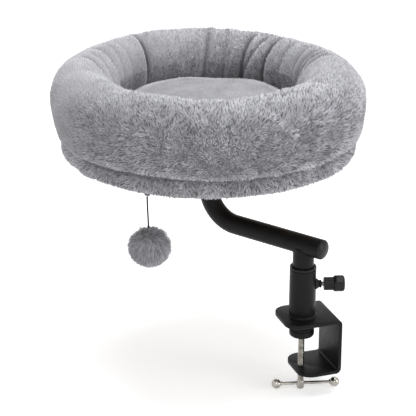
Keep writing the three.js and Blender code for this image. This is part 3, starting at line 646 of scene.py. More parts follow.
LIP_WIDTH, LIP_RISE = 11 * MM, 0.35
# Widths of the painted shade along a gather, on its lap side and on its far side
LINE_WIDTH, LINE_FAR_WIDTH = 2.0 * MM, 4.5 * MM
SLOPE_SHADE, LIP_LIGHT = 0.25, 0.5
SHORT_PILE_WIDTH = 6 * MM
FULL_LINE_DEPTH = 8
# Noises
LUMPS = (2.1 * MM, 13, 4, 1), (0.9 * MM, 34, 9, 2)
STANDING = 0.9 * MM
MOTTLE = (1, 150, 36, 8)
LIFT_NOISE = (10, 90, 24, 6)
SWIRL_NOISES = (0.9, 44, 9, 4), (1.1, 120, 30, 5)
SIDE_NOISE, SIDE_SWIRL = (2.5, 7, 2, 7), 0.8
# Spans of the section in which something grows from nothing to full, as shares of its length
PILE_SPAN = (0.10, 0.81)
FREE_INSIDE, FREE_OUTSIDE = (0.0, 0.12), (0.86, 0.78)
GATHERED_ABOVE, GATHERED_BELOW = (0.43, 0.36), (0.02, 0.10)
LONG_SPAN, UPPER_SPAN, INSIDE_SPAN = (0.80, 0.74), (0.60, 0.44), (0.40, 0.34)
SIDE_SPAN, LOW_FRONT_SPAN, OUTER_SPAN = (0.50, 0.72), (0.60, 0.70), (0.48, 0.58)
FOOT_SPAN, FOOT_LINE_SPAN, SEAM_SPAN = (0.27, 0.15), (0.205, 0.185), (0.775, 0.795)
# Traits of the nap, its lift in degrees
DEEP_NAP = {"lift": 44, "draw": 0.35, "jitter": 0.45, "contrast": 1.4}
CALM_NAP = {"lift": 16, "draw": 0.2, "jitter": 0.15, "contrast": 0.2}
UPPER_DROP = 16
HEM_LENGTH = 0.3
CALM_SWIRL, UPPER_SWIRL, FOLD_SWIRL = 0.65, 0.4, 0.8
FOLD_LENGTH, VALLEY_LENGTH = 0.75, 0.15
UPPER_CONTRAST, INSIDE_CONTRAST, UPPER_VALLEY = 0.3, 0.3, 0.5
FOOT_SHADE, FOOT_LINE_SHADE = 0.18, 0.35
OUTER_SHADE, LOW_FRONT_LIGHT = 0.28, 0.10
# Where the outer side gets painted shade, as angles at which that starts, is full and ends
OUTER_ANGLES = (165, 190, 235, 255)
CALM_SHADE, CALM_FULL, VALLEY_SHADE = 0.23, 0.6, 0.25
SEAM_SHADE = 0.9
# The pile is brushed away from the camera and up
BRUSHED = np.array([-math.sin(CAMERA_TURN), math.cos(CAMERA_TURN), 0.8])


def calm(turn):
    return np.interp(np.mod(turn, 1) * 360, CALM_ANGLES, CALM_SHARES)


def bolster_outline():
    middle = (BOLSTER_RADIUS + BOLSTER_INNER_RADIUS) / 2
    half = (BOLSTER_RADIUS - BOLSTER_INNER_RADIUS) / 2 - PILE_DEPTH
    waist = BOLSTER_HEIGHT * BOLSTER_WAIST_SHARE
    top = BOLSTER_HEIGHT - waist - PILE_DEPTH
    inner_foot, outer_foot = (share * half for share in BOLSTER_FOOT_SHARES)
    outline = np.concatenate([
        arc((middle - inner_foot, waist), (half - inner_foot, waist), 0.75, 0.5, 16),
        arc((middle, waist), (half, top), 0.5, 0.0, 64)[1:],
        arc((middle + outer_foot, waist), (half - outer_foot, waist), 0, -0.25, 16)[1:],
        [[middle - inner_foot, 0]],
    ])
    return outline + [0, BOLSTER_BASE]


def gathers(turn, share, radius):
    """How far the gathers pull the cover in, their painted shade in the grooves and painted
    highlight on the lips, and how near one is.
    """
    fall = np.clip((GATHER_TOP - share) / GATHER_RUN, 0, GATHER_REACH) ** GATHER_POWER
    reach = smoothstep(*GATHERED_ABOVE, share) * smoothstep(*GATHERED_BELOW, share)
    depth, line, near = 0, 0, 0
    for crest_angle, foot_angle, deep, side in GATHERS:
        here = crest_angle + (foot_angle - crest_angle) * fall
        off = (np.mod(turn * 360 - here + 180, 360) - 180) * math.pi / 180 * radius * side
        groove = np.exp(-(off / GROOVE_WIDTH) ** 2)
        slope = np.exp(-np.abs(off / SLOPE_WIDTH) ** SLOPE_POWER)
        lip = LIP_RISE * (1 - groove) * np.exp(-(off / LIP_WIDTH) ** 2)
        pull = GROOVE_SHARE * groove + np.where(off < 0, (1 - GROOVE_SHARE) * slope, -lip)
        depth = depth + deep * MM * pull
        # Painted shade along the groove and its far slope, less a painted highlight on the lip
        width = np.where(off < 0, LINE_FAR_WIDTH, LINE_WIDTH)
        dark = (np.exp(-(off / width) ** 2)
                + np.where(off < 0, SLOPE_SHADE * slope, -LIP_LIGHT * lip))
        strength = min(1, deep / FULL_LINE_DEPTH)
        line = line + dark * strength
        near = np.maximum(near, np.exp(-(off / SHORT_PILE_WIDTH) ** 2) * strength)
    return depth * reach, line * reach, near * reach


def mottle(turn, share):
    """Up to 1 where the deep pile stands in tufts, and down to -1 where it falls into valleys."""
    return noises(turn, share, MOTTLE) * (1 - calm(turn))


def bolster_shift(turn, share, radius, height):
    free = smoothstep(*FREE_INSIDE, share) * smoothstep(*FREE_OUTSIDE, share)
    depth, _, _ = gathers(turn, share, radius)
    return (noises(turn, share, *LUMPS) + STANDING * mottle(turn, share) + CALM_RISE * calm(turn)
            - depth) * free


def bolster_nap(turn, share, roots):
    """Upright tufts at the front and a nearly flat nap at the sides, shorter towards the seam."""
    still = calm(turn)
    _, line, fold = gathers(turn, share, np.linalg.norm((roots - BED_CENTRE)[:, :2], axis=-1))
    upper, inside = smoothstep(*UPPER_SPAN, share), smoothstep(*INSIDE_SPAN, share)
    valley = mottle(turn, share)
    nap = mixed_nap(DEEP_NAP, CALM_NAP, still)
    nap["lean"] = BRUSHED * np.ones((len(turn), 1))
    nap["length"] = ((BOLSTER_STRAND - CALM_SHORTER * still)
                     * (HEM_LENGTH + (1 - HEM_LENGTH) * smoothstep(*LONG_SPAN, share))
                     * (1 - FOLD_LENGTH * fold) * (1 + VALLEY_LENGTH * valley))
    nap["lift"] = np.radians(nap["lift"] - UPPER_DROP * upper * (1 - still)
                             + noises(turn, share, LIFT_NOISE))
    wild = (1 - CALM_SWIRL * still) * (1 - UPPER_SWIRL * upper) * (1 - FOLD_SWIRL * fold)
    side = np.clip(noises(turn, share, SIDE_NOISE), -1, 1) * smoothstep(*SIDE_SPAN, share)
    nap["swirl"] = (noises(turn, share, *SWIRL_NOISES) + SIDE_SWIRL * side) * wild
    nap["draw"] = nap["draw"] * (1 - fold)
    nap["contrast"] = (nap["contrast"] * (1 - UPPER_CONTRAST * upper)
                       * (1 - INSIDE_CONTRAST * inside))
    outer = np.interp(np.mod(turn, 1) * 360, OUTER_ANGLES, (0, 1, 1, 0))
    # Painted shade in the gathers, at the inner foot, on the outer side at the left, on the calm
    # upper sides, at the seam and in the valleys, less painted light on the lower front
    nap["shade"] = (line + FOOT_SHADE * smoothstep(*FOOT_SPAN, share)
                    + FOOT_LINE_SHADE * smoothstep(*FOOT_LINE_SPAN, share)
                    + OUTER_SHADE * outer * smoothstep(*OUTER_SPAN, share)
                    - LOW_FRONT_LIGHT * (1 - still) * smoothstep(*LOW_FRONT_SPAN, share)
                    + CALM_SHADE * np.minimum(1, still / CALM_FULL) * upper
                    + SEAM_SHADE * smoothstep(*SEAM_SPAN, share)
                    - VALLEY_SHADE * valley * (1 - UPPER_VALLEY * upper))
    return nap


def add_bolster():
    """The ring of fabric with its pile, which goes on in pieces of its own."""
    skin = Skin(bolster_outline(), BOLSTER_STEPS, BOLSTER_ROWS, bolster_shift, closed=True)
    radius = np.linalg.norm((skin.points - BED_CENTRE)[..., :2], axis=-1)
    line = gathers(skin.turn[:, None], skin.share[None, :], radius)[1]
    # The skin carries the gathers' painted shade too
    skin.tone = np.clip(SKIN_TONE - line, 0, 1)
    plush_on("bed_bolster", "bolster", skin, PILE_SPAN, BOLSTER_PILE, bolster_nap, BOLSTER_SEED,
             parts=BOLSTER_PARTS)


# Base cover: a padded disc with a skirt whose hem wraps under the board
COVER_BASE = 196.5 * MM
COVER_HEIGHT = 27 * MM
COVER_HEM_RADIUS = 176 * MM
COVER_MIDDLE_RADIUS = 189.5 * MM
COVER_MIDDLE_HEIGHT = 12.5 * MM
COVER_TOP_RADIUS = 187 * MM
COVER_HEM_THICKNESS = 4 * MM
COVER_OPENING_RADIUS = 125 * MM
COVER_SEAM_TURN = 285.8 / 360
COVER_SEAM_DEPTH = 3.5 * MM
COVER_SEAM_WIDTH = 1.8 * MM
COVER_STEPS, COVER_ROWS = 90, 360
BOARD_RADIUS = 174 * MM
COVER_DEPTH = 3.2 * MM
COVER_STRAND = 5.2 * MM
COVER_PILE = 1.55 * MM, 4 * MM, 1.7 * MM
COVER_LEAN = BRUSHED * [0.3, 0.3, -1]
COVER_RIPPLES = (1.1 * MM, 40, 5, 21), (0.8 * MM, 90, 9, 22)
COVER_LIFT_NOISE, COVER_SWIRL_NOISE = (12, 120, 6, 32), (1.3, 90, 8, 31)
COVER_CALM, COVER_CALM_SWIRL = 0.7, 0.5
COVER_DEEP_NAP = {"lift": 40, "draw": 0.5, "jitter": 0.4, "contrast": 1.1}
COVER_CALM_NAP = {"lift": 20, "draw": 0.2, "jitter": 0.2, "contrast": 0.5}
# Where the skirt's form and its pile start, as radii and as heights over the hem
SKIRT_SPAN = (BOARD_RADIUS + 2 * MM, BOARD_RADIUS + 6 * MM)
HEM_SPAN, BRIM_SPAN = (0, 7 * MM), (COVER_HEIGHT, COVER_HEIGHT - 6 * MM)
COVER_SEAM_SPAN = (COVER_HEIGHT - 5.5 * MM, COVER_HEIGHT - 3 * MM)
HEM_REACH, HEM_TOP, BRIM_SHARE = 6 * MM, 2 * MM, 0.985


def cover_outline():
    pocket = BOARD_RADIUS + SEAT_GAP
    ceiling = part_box("base_board")[1].z - COVER_BASE + SEAT_GAP
    belly = COVER_MIDDLE_RADIUS - COVER_DEPTH
    rise = COVER_HEIGHT - COVER_MIDDLE_HEIGHT
    shoulder = COVER_TOP_RADIUS - rise / 2
    outline = np.concatenate([
        [[pocket, ceiling], [pocket, COVER_HEM_THICKNESS],
         [COVER_OPENING_RADIUS, COVER_HEM_THICKNESS], [COVER_OPENING_RADIUS, 0]],
        arc((COVER_HEM_RADIUS, COVER_MIDDLE_HEIGHT),
            (belly - COVER_HEM_RADIUS, COVER_MIDDLE_HEIGHT), -0.25, 0, 10),
        arc((shoulder, COVER_MIDDLE_HEIGHT), (belly - shoulder, rise), 0, 0.25, 10)[1:],
        [[BOLSTER_INNER_RADIUS / 2, COVER_HEIGHT]],
    ])
    return outline + [0, COVER_BASE]


def cover_shift(turn, share, radius, height):
    """Soft ripples on the skirt, and the dent of its one upright seam."""
    off = np.abs(np.mod(turn - COVER_SEAM_TURN + 0.5, 1) - 0.5) * TURN * radius
    seam = COVER_SEAM_DEPTH * np.exp(-(off / COVER_SEAM_WIDTH) ** 2)
    return (seam - noises(turn, share, *COVER_RIPPLES)) * smoothstep(*SKIRT_SPAN, radius)


def cover_nap(turn, share, roots):
    still = COVER_CALM * calm(turn)
    height = roots[:, 2] - COVER_BASE
    ends = smoothstep(*HEM_SPAN, height) * smoothstep(*BRIM_SPAN, height)
    nap = mixed_nap(COVER_DEEP_NAP, COVER_CALM_NAP, still)
    nap["lean"] = COVER_LEAN * np.ones((len(turn), 1))
    nap["length"] = COVER_STRAND * (HEM_LENGTH + (1 - HEM_LENGTH) * ends)
    nap["lift"] = np.radians(nap["lift"] + noises(turn, share, COVER_LIFT_NOISE))
    nap["swirl"] = noises(turn, share, COVER_SWIRL_NOISE) * (1 - COVER_CALM_SWIRL * still)
    nap["shade"] = SEAM_SHADE * smoothstep(*COVER_SEAM_SPAN, height)
    return nap


def add_cover():
    # The outline runs from the pocket under the hem and over the skirt to the middle
    skin = Skin(cover_outline(), COVER_STEPS, COVER_ROWS, cover_shift, side=-1)
    radius, height = skin.section[:, 0], skin.section[:, 1]
    hem = (radius > COVER_HEM_RADIUS - HEM_REACH) & (height < COVER_BASE + HEM_TOP)
    brim = height > COVER_BASE + COVER_HEIGHT * BRIM_SHARE
    span = float(skin.share[np.argmax(hem)]), float(skin.share[np.argmax(brim)])
    plush_on("base_cover_plush", "base_cover", skin, span, COVER_PILE, cover_nap, COVER_SEED)


# Cushion: a nearly flat pad with a rounded, slightly wavy edge
CUSHION_RADIUS = 111.7 * MM
CUSHION_HEIGHT = 39.5 * MM
CUSHION_CROWN = 2 * MM
CUSHION_CORNER = 7 * MM
CUSHION_STEPS, CUSHION_ROWS = 80, 180
CUSHION_DEPTH = 1.0 * MM
CUSHION_STRAND = 3.2 * MM
CUSHION_PILE = 2.0 * MM, 5 * MM, 1.6 * MM
CUSHION_COMB = 0.35
CUSHION_SHADE = 0.08
CUSHION_RIM_SHARE, CUSHION_RIM_WIDTH_SHARE, CUSHION_RIM_LIGHT = 0.60, 0.02, 0.25
CUSHION_WAVE, CUSHION_SAG = (2.2 * MM, 13, 1, 41), (1.0 * MM, 7, 5, 42)
CUSHION_MARKS = (0.2, 10, 9, 45), (0.12, 36, 30, 46)
CUSHION_SWIRL_NOISE, CUSHION_LIFT_NOISE = (0.8, 9, 5, 43), (6, 40, 20, 44)
CUSHION_NAP = {"lift": 17, "draw": 0.2, "jitter": 0.3, "contrast": 0.4}
CUSHION_PILE_SPAN = (0.50, 0.985)
# Spans as shares of the radius, of the height and of the section
EDGE_RADII, MIDDLE_RADII = (0.6, 0.9), (0.0, 0.12)
CUSHION_TOP_SPAN = (BOLSTER_BASE + CUSHION_HEIGHT * 0.3, BOLSTER_BASE + CUSHION_HEIGHT * 0.7)
MARKED_SPAN = (1.0, 0.82)


def cushion_outline():
    radius = CUSHION_RADIUS - CUSHION_DEPTH
    edge = CUSHION_HEIGHT - CUSHION_DEPTH - CUSHION_CROWN
    corner = CUSHION_CORNER
    outline = np.concatenate([
        [[0.5 * MM, 0], [radius - corner, 0]],
        arc((radius - corner, corner), (corner, corner), -0.25, 0, 8),
        arc((radius - corner, edge - corner), (corner, corner), 0, 0.25, 10),
        [[share * radius, edge + CUSHION_CROWN * (1 - share ** 2)]
         for share in np.linspace(0.9, 0.005, 24)],
    ])
    return outline + [0, BOLSTER_BASE]


def cushion_shift(turn, share, radius, height):
    edge = smoothstep(*EDGE_RADII, radius / CUSHION_RADIUS)
    middle = smoothstep(*MIDDLE_RADII, radius / CUSHION_RADIUS)
    wave = noises(turn, share, CUSHION_WAVE) * edge
    sag = noises(turn, share, CUSHION_SAG) * (1 - edge)
    return -(wave + sag * middle) * smoothstep(*CUSHION_TOP_SPAN, height)


def cushion_marks_and_highlight(turn, share):
    """Shade to add to the nap: noise patches, darker and lighter, less a painted highlight along
    the rim.
    """
    rim = np.exp(-((share - CUSHION_RIM_SHARE) / CUSHION_RIM_WIDTH_SHARE) ** 2)
    patches = noises(turn, share, *CUSHION_MARKS) * smoothstep(*MARKED_SPAN, share)
    return patches - CUSHION_RIM_LIGHT * rim


def cushion_nap(turn, share, roots):
    lean = np.array([math.cos(CUSHION_COMB), math.sin(CUSHION_COMB), 0])
    return {**CUSHION_NAP, "length": CUSHION_STRAND, "lean": lean * np.ones((len(turn), 1)),
            "lift": np.radians(CUSHION_NAP["lift"] + noises(turn, share, CUSHION_LIFT_NOISE)),
            "swirl": noises(turn, share, CUSHION_SWIRL_NOISE),
            "shade": CUSHION_SHADE + cushion_marks_and_highlight(turn, share)}


def add_cushion():
    skin = Skin(cushion_outline(), CUSHION_STEPS, CUSHION_ROWS, cushion_shift, side=-1)
    skin.tone = SKIN_TONE - cushion_marks_and_highlight(skin.turn[:, None], skin.share[None, :])
    plush_on("bed_cushion", "cushion", skin, CUSHION_PILE_SPAN, CUSHION_PILE, cushion_nap,
             CUSHION_SEED, "short_plush")


# Hanging toy. The cord repeats the part's own points, from its exit at the tab down.
TOY_TURN = ARM_YAW + 0.2874 * TURN
TOY_RADIUS = 175 * MM
TOY_TAB_TOP = 196.2 * MM
TOY_TAB_HEIGHT = 3.5 * MM
TOY_TAB_WIDTH = 6 * MM
TOY_TAB_THICKNESS = 2 * MM
TOY_TAPE = 0.7 * MM
TAPE_STEPS, TAPE_ROWS = 10, 7
CORD_DIAMETER = 2 * MM
CORD_POINTS = ((0, 0, 0), (0, 0, -4), (-0.1, 0.05, -9), (-0.3, 0.1, -15), (-0.6, 0.2, -21),
               (-0.9, 0.3, -27), (-1.1, 0.45, -34), (-1.4, 0.6, -41.5))
CORD_END_SHARES, CORD_END_RADII = (0.3, 1.0), (0.25, 0.7, 1.0)
POMPOM_RADII = (28.2 * MM, 28.2 * MM, 26.5 * MM)
POMPOM_CORE_RADIUS, POMPOM_SKIN_RADIUS = 18 * MM, 19 * MM
POMPOM_STRANDS = 9000
POMPOM_STRAND_WIDTH = 1.5 * MM
POMPOM_TUFTS = 420
POMPOM_DRAW, POMPOM_FALL = 0.4, 0.5
POMPOM_HUB_JITTER, POMPOM_TUFT_JITTER, POMPOM_JITTER = 0.06, 0.16, 0.08
POMPOM_TUFT_REACH, POMPOM_REACH = (0.98, 1.03), (0.92, 1.02)
POMPOM_TONE, POMPOM_TUFT_TONES, POMPOM_GAP_SHADE = 0.7, 0.15, 0.7
POMPOM_SHIFT = np.array([0.66, -0.23, 1.2]) * MM


def toy_placing():
    """The toy's own frame: X out from the bed's axis, and the origin at the cord's exit."""
    origin = BED_CENTRE + TOY_RADIUS * np.array([math.cos(TOY_TURN), math.sin(TOY_TURN), 0])
    origin[2] = TOY_TAB_TOP - TOY_TAB_HEIGHT
    return Matrix.Translation(Vector(origin)) @ Matrix.Rotation(TOY_TURN, 4, "Z")


def add_cord():
    placing = toy_placing()
    route = [placing @ Vector((x * MM, y * MM, z * MM - SEAT_GAP)) for x, y, z in CORD_POINTS]
    curve = bpy.data.curves.new("hanging_cord", "CURVE")
    curve.dimensions = "3D"
    curve.bevel_depth = CORD_DIAMETER / 2
    curve.bevel_resolution = 5
    curve.resolution_u = 6
    curve.use_fill_caps = True
    # Two more points give the cord its round end, which turns under the tab
    down = (route[1] - route[0]).normalized() * CORD_DIAMETER / 2
    places = [route[0], *(route[0] + down * share for share in CORD_END_SHARES), *route[1:]]
    points = curve.splines.new("BEZIER").bezier_points
    points.add(len(places) - 1)
    for point, place in zip(points, places):
        point.co = place
        point.handle_left_type = point.handle_right_type = "AUTO"
    for point, radius in zip(points, CORD_END_RADII):
        point.radius = radius
    curve.materials.append(PAINTS["cord"])
    cord = add_object("hanging_cord", curve)
    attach(cord, "toy_cord")
    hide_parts("toy_cord")
    length = sum((b - a).length for a, b in zip(route, route[1:]))
    return cord, tuple(route[0]), length


def on_ball(count):
    """Evenly spread ways out of a ball."""
    height = 1 - 2 * (np.arange(count) + 0.5) / count
    angle = np.arange(count) * math.pi * (3 - math.sqrt(5))
    ring = np.sqrt(1 - height ** 2)
    return np.stack([ring * np.cos(angle), ring * np.sin(angle), height], axis=-1)


def add_pompom():
    """A ball of strands that are drawn together into uneven tufts."""
    low, high = (np.array(corner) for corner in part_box("toy_pompom"))
    centre = (low + high) / 2 + POMPOM_SHIFT
    fall = np.array([0, 0, -POMPOM_FALL])
    random = np.random.default_rng(NOISE_SEED + POMPOM_SEED)
    tufts_shape = (POMPOM_TUFTS, 3)
    hubs = unit(on_ball(POMPOM_TUFTS) + random.normal(0, POMPOM_HUB_JITTER, tufts_shape))
    out = on_ball(POMPOM_STRANDS)
    own = nearest(out, hubs)
    tall = random.uniform(*POMPOM_TUFT_REACH, POMPOM_TUFTS)
    fallen = unit(hubs + fall + random.normal(0, POMPOM_TUFT_JITTER, tufts_shape))
    own_way = unit(out + fall + random.normal(0, POMPOM_JITTER, out.shape))
    ends = unit(own_way * (1 - POMPOM_DRAW) + fallen[own] * POMPOM_DRAW)
    reach = tall[own] * random.uniform(*POMPOM_REACH, len(out))
    tips = centre + ends * POMPOM_RADII * reach[:, None]
    roots = centre + out * POMPOM_CORE_RADIUS
    # A share of strands is painted dark, as painted shade in the gaps between tufts
    gap = random.uniform(0, 1, len(out)) < GAP_SHARE
    tone = (POMPOM_TONE + POMPOM_TUFT_TONES * random.uniform(-1, 1, POMPOM_TUFTS)[own]
            - POMPOM_GAP_SHADE * POMPOM_TONE * gap)
    wide = np.full(len(out), POMPOM_STRAND_WIDTH)
    tufts = *strands(roots, out, tips, wide, random), np.repeat(tone, STRAND_POINTS)
    outline = arc((0, centre[2]), (POMPOM_SKIN_RADIUS,) * 2, -0.2499, 0.2499, 24)
    core = Skin(outline, 20, 40, lambda *place: 0.0, centre=centre * [1, 1, 0])
    piece = plush_piece("pompom", "toy_pompom", core, tufts, body="toy_pompom")
    return piece


def add_tab():
    """A strip of tape folded over the cord, sewn under the cover's hem."""
    half = TOY_TAB_THICKNESS / 2
    hollow = half - TOY_TAPE
    outline = np.concatenate([
        [[half, TOY_TAB_HEIGHT]], arc((0, half), (half, half), 0, -0.5, TAPE_STEPS),
        [[-half, TOY_TAB_HEIGHT], [-hollow, TOY_TAB_HEIGHT]],
        arc((0, half), (hollow, hollow), -0.5, 0, TAPE_STEPS), [[hollow, TOY_TAB_HEIGHT]],
    ])
    placing = toy_placing()
    widths = np.linspace(-TOY_TAB_WIDTH / 2, TOY_TAB_WIDTH / 2, TAPE_ROWS)
    points = np.array([placing @ Vector((x, y, z)) for y in widths for x, z in outline])
    count = len(outline)
    left = np.arange(count // 2)
    ends = [np.stack([first + left, first + (left + 1) % count, first + (count - 2 - left) % count,
                      first + count - 1 - left], axis=-1)[:-1]
            for first in (0, (TAPE_ROWS - 1) * count)]
    mesh_piece("toy_tab_tape", points, [grid_faces(TAPE_ROWS, count, False), *ends], "tape", "arm",
               "toy_tab")


# Round steel and plastic pieces, in mm
PLATE_TOP = 6.0
LOCK_HEIGHT, KNOB_START = 48.3, 26.35
BAR_HEIGHT, BAR_SHIFT, BAR_HOLE, BALL_RADIUS, BALL_OFFSET = -91.7, 6.6, 2.35, 6.5, 37.7
ARM_RADIUS, ARM_BORE, ARM_HEIGHT, ARM_TAIL, ARM_SIDES = 12.7, 10.7, 102.3, 32.9, 64
ARM_CAP, ARM_EDGE, ARM_EDGE_ANGLE = 5.0, 0.4, math.radians(30)
ELBOW_RADIUS, ELBOW_STEPS = 44.1, 24
STUB_RADIUS, STUB_BORE, STUB_FOOT, STUB_DROP, STUB_ROWS = 13.45, 11.45, 9.1, 4.0, 5
STUB_GAP = 0.3
BEAD_RADIUS, BEAD_RIPPLE, BEAD_RIPPLES, BEAD_STEPS, BEAD_SIDES = 0.9, 0.16, 38, 180, 10
BEAD_SINK, BEAD_GAP = 0.4, 0.2
WELD_RIPPLE, WELD_RIPPLES, WELD_PHASE, WELD_MIDDLE, WELD_FADE = 0.012, 41, 0.4, 1.2, 1.6
# A thread's radius, depth, pitch and ends
STUD_THREAD = 3.0, 0.55, 1.0, 14.75, 41.35
ROD_THREAD = 4.0, 0.72, 1.25
ROD_HEAD, DRILL_SIDES, DRILL_REACH = 11.5, 32, 14
KNOB_FLUTES, KNOB_FLUTE_SHARE, KNOB_SIDES, KNOB_POWER = 12, 0.075, 6, 26
KNOB_FLUTE_SPAN, KNOB_HEAD_SPAN, KNOB_DOME_SPAN = (0, 1.2), (12.2, 12.8), (23.9, 26.54)
CUP_WALL, CUP_FACE = 1.6, 1.2


def rows(radius, low, high, count):
    """Evenly spaced points of one radius."""
    return [(radius, height) for height in np.linspace(low, high, count)]


# Each turned piece's outline, as radii and heights along its own axis
BALL = [(0, -1.5), (BAR_HOLE, -1.5), (BAR_HOLE, -7), (3.2, -7), (3.2, -5.85),
        *arc((0, 0), (BALL_RADIUS, BALL_RADIUS), -58 / 360, 86 / 360, 21), (0, BALL_RADIUS)]
OUTLINES = {
    "sleeve_tube": [(15.05, 0), (18.85, 0), (18.55, 0.7), (17.75, 1.6), (16.85, 2.2),
                    (16.85, 63.8), (15.05, 63.8)],
    "liner_bush": [(13.7, 0.3), (14.75, 0.3), (14.75, 64.1), (16.85, 64.1), (16.85, 67.5),
                   (13.7, 67.5)],
    "weld_nut": [(3.3, 15.45), (7.75, 15.45), (7.75, 16.2), (4.5, 20.95), (5.05, 21.6),
                 (5.05, 22.9), (4.5, 23.55), (3.3, 23.55)],
    "lock_screw_stud": [(0, 13.75), (2.1, 13.75), *rows(3, 14.75, 40.35, 205), (0, 40.35)],
    "lock_screw_knob": [(0, 15), (3.3, 15), (3.3, 0), (7.7, 0), (8.4, 0.7), *rows(8.4, 1.4, 12, 6),
                        (8.274, 12.3), (9.3, 12.7), (10, 14.6), *rows(10, 16.6, 22.3, 5),
                        (10, 24.3), (9.3, 25.6), (8, 26.36), (6.4, 26.5544), (4.4, 26.73665),
                        (2.4, 26.8514), (0, 26.9)],
    "sliding_bar": [(0, -35.9), (2.1, -35.9), (2.1, 35.9), (0, 35.9)],
    "bar_ball_right": BALL,
    "bar_ball_left": BALL,
    "arm_plug": [(0, 0), (3, 0.12), (6, 0.55), (8.2, 1.15), (9.7, 1.8), (11.2, 2.8), (12.1, 3.7),
                 (12.6, 4.5), (12.7, 5), (10.4, 5), (10.4, 16), (0, 16)],
    "flange_plate": [(0, 0), (13.1, 0), (13.1, -3.4), (13.9, -3.2), (15.1, -1.9), (16.3, -0.4),
                     (17.7, 0), (56, 0), (56, 4), (0, 4)],
}
BOLT_HEAD = [(0, 2.2), (2.7, 2.2), (3.0, 0.15), (3.15, 0), (4.1, 0), (4.9, 0.5), (5.2, 1.4),
             (5.2, 3.3), (2.9, 3.3)]


def along_yaw(yaw, z, x=0.0):
    """Local Z points along a level direction; x is how far out the origin lies."""
    turn = Matrix.Rotation(yaw, 4, "Z") @ Matrix.Translation((x * MM, 0, 0))
    return Matrix.Translation((0, 0, z * MM)) @ turn @ Matrix.Rotation(math.pi / 2, 4, "Y")


def weld_ripples(angle, height):
    """Radius factor of the sleeve's hand-laid weld."""
    return 1 + (WELD_RIPPLE * np.cos(WELD_RIPPLES * angle + WELD_PHASE)
                * np.exp(-((height - WELD_MIDDLE) / WELD_FADE) ** 2))


def thread(radius, depth, pitch, low, high):
    """Radius factor of a right-hand thread between two heights."""
    def reach(angle, height):
        groove = 1 - np.abs(2 * np.mod(height / pitch - angle / TURN, 1) - 1)
        fade = smoothstep(low, low + pitch, height) * smoothstep(high, high - pitch, height)
        return 1 - depth / radius * fade * smoothstep(0.1, 0.9, groove)
    return reach


def knob_reach(angle, height):
    """Radius factor of the knob's fluted neck, six-sided head and domed end."""
    flutes = KNOB_FLUTE_SHARE * (1 - np.cos(KNOB_FLUTES * angle)) / 2
    fluted = 1 - flutes * smoothstep(*KNOB_FLUTE_SPAN, height)
    sided = sum(np.maximum(0, np.cos(angle - (side + 0.5) * TURN / KNOB_SIDES)) ** KNOB_POWER
                for side in range(KNOB_SIDES)) ** (-1 / KNOB_POWER)
    head, dome = smoothstep(*KNOB_HEAD_SPAN, height), smoothstep(*KNOB_DOME_SPAN, height)
    return fluted * (1 - head) + (sided * (1 - dome) + dome) * head


def cup_outline(low, high):
    """The pressure cup's outline, from its box."""
    height, radius = (high.z - low.z) / MM, (high.x - low.x) / 2 / MM
    wall, face = radius - CUP_WALL, height - CUP_FACE
    return [(0, 4.5), (4.3, 4.5), (4.3, 0), (radius - 2.6, 0), (radius - 1.2, 0.5),
            (radius - 0.4, 1.5), (radius, 3.0), (radius, height), (wall, height), (wall, face),
            (0, face)]


def rod_outline(end, top, tip):
    """The clamp screw's outline, its head from end to top and its thread from there to tip."""
    return [(0, end), (3.6, end), (4.3, end + 0.25), (4.75, end + 0.9), (4.9, end + 2.0),
            (4.95, BAR_HEIGHT), (4.9, top - 1.6), (4.6, top - 0.5), (4.0, top),
            (3.3, top + 0.5), *rows(4.0, top + 0.8, tip - 0.8, 431), (3.3, tip), (0, tip)]


def add_clamp_pieces():
    """The turned pieces of the clamp, its two screws and its handle."""
    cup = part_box("pressure_cup")
    end, tip = (corner.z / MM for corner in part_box("clamp_screw"))
    top = end + ROD_HEAD
    outlines = {**OUTLINES, "pad_cup": cup_outline(*cup),
                "clamp_screw_rod": rod_outline(end, top, tip)}
    sleeve, foot = (Matrix.Translation((0, 0, z)) for z in (PLATE_TOP * MM, cup[0].z))
    lock, knob = along_yaw(LOCK_YAW, LOCK_HEIGHT), along_yaw(LOCK_YAW, LOCK_HEIGHT, KNOB_START)
    bar = along_yaw(BAR_YAW, BAR_HEIGHT, BAR_SHIFT)
    out = Matrix.Translation((0, 0, BALL_OFFSET * MM))
    right, left = (bar @ Matrix.Rotation(turn, 4, "Y") @ out for turn in (0, math.pi))
    for name, replaced, placing, slot, body, options in (
            ("sleeve_tube", "clamp_sleeve", sleeve, "black_steel", "clamp",
             {"sides": 144, "edge": 0.5, "closed": True, "reach": weld_ripples}),
            ("liner_bush", "sleeve_liner", sleeve, "black_plastic", "clamp",
             {"sides": 96, "edge": 1.3, "steps": 5, "closed": True}),
            ("weld_nut", "lock_boss", lock, "black_steel", "clamp",
             {"edge": 0.35, "closed": True}),
            ("lock_screw_stud", "lock_stud", lock, "nickel", "lock_stud",
             {"sides": 40, "reach": thread(*STUD_THREAD)}),
            ("lock_screw_knob", "lock_knob", knob, "black_plastic", "lock_knob",
             {"sides": 144, "reach": knob_reach}),
            ("pad_cup", "pressure_cup", foot, "black_steel", "pressure_pad",
             {"sides": 96, "edge": 0.45}),
            ("clamp_screw_rod", "clamp_screw", Matrix(), "nickel", "clamp_screw",
             {"sides": 48, "reach": thread(*ROD_THREAD, top, tip)}),
            ("sliding_bar", "tommy_bar", bar, "nickel", "tommy_bar", {"sides": 48, "edge": 0.4}),
            ("bar_ball_right", "tommy_ball_right", right, "nickel", "tommy_bar", {"sides": 48}),
            ("bar_ball_left", "tommy_ball_left", left, "nickel", "tommy_bar", {"sides": 48})):
        piece = turned_piece(name, replaced, outlines[name], placing, slot, body, **options)
        if name == "clamp_screw_rod":
            drill(piece, along_yaw(BAR_YAW, BAR_HEIGHT), BAR_HOLE * MM, DRILL_REACH * MM)


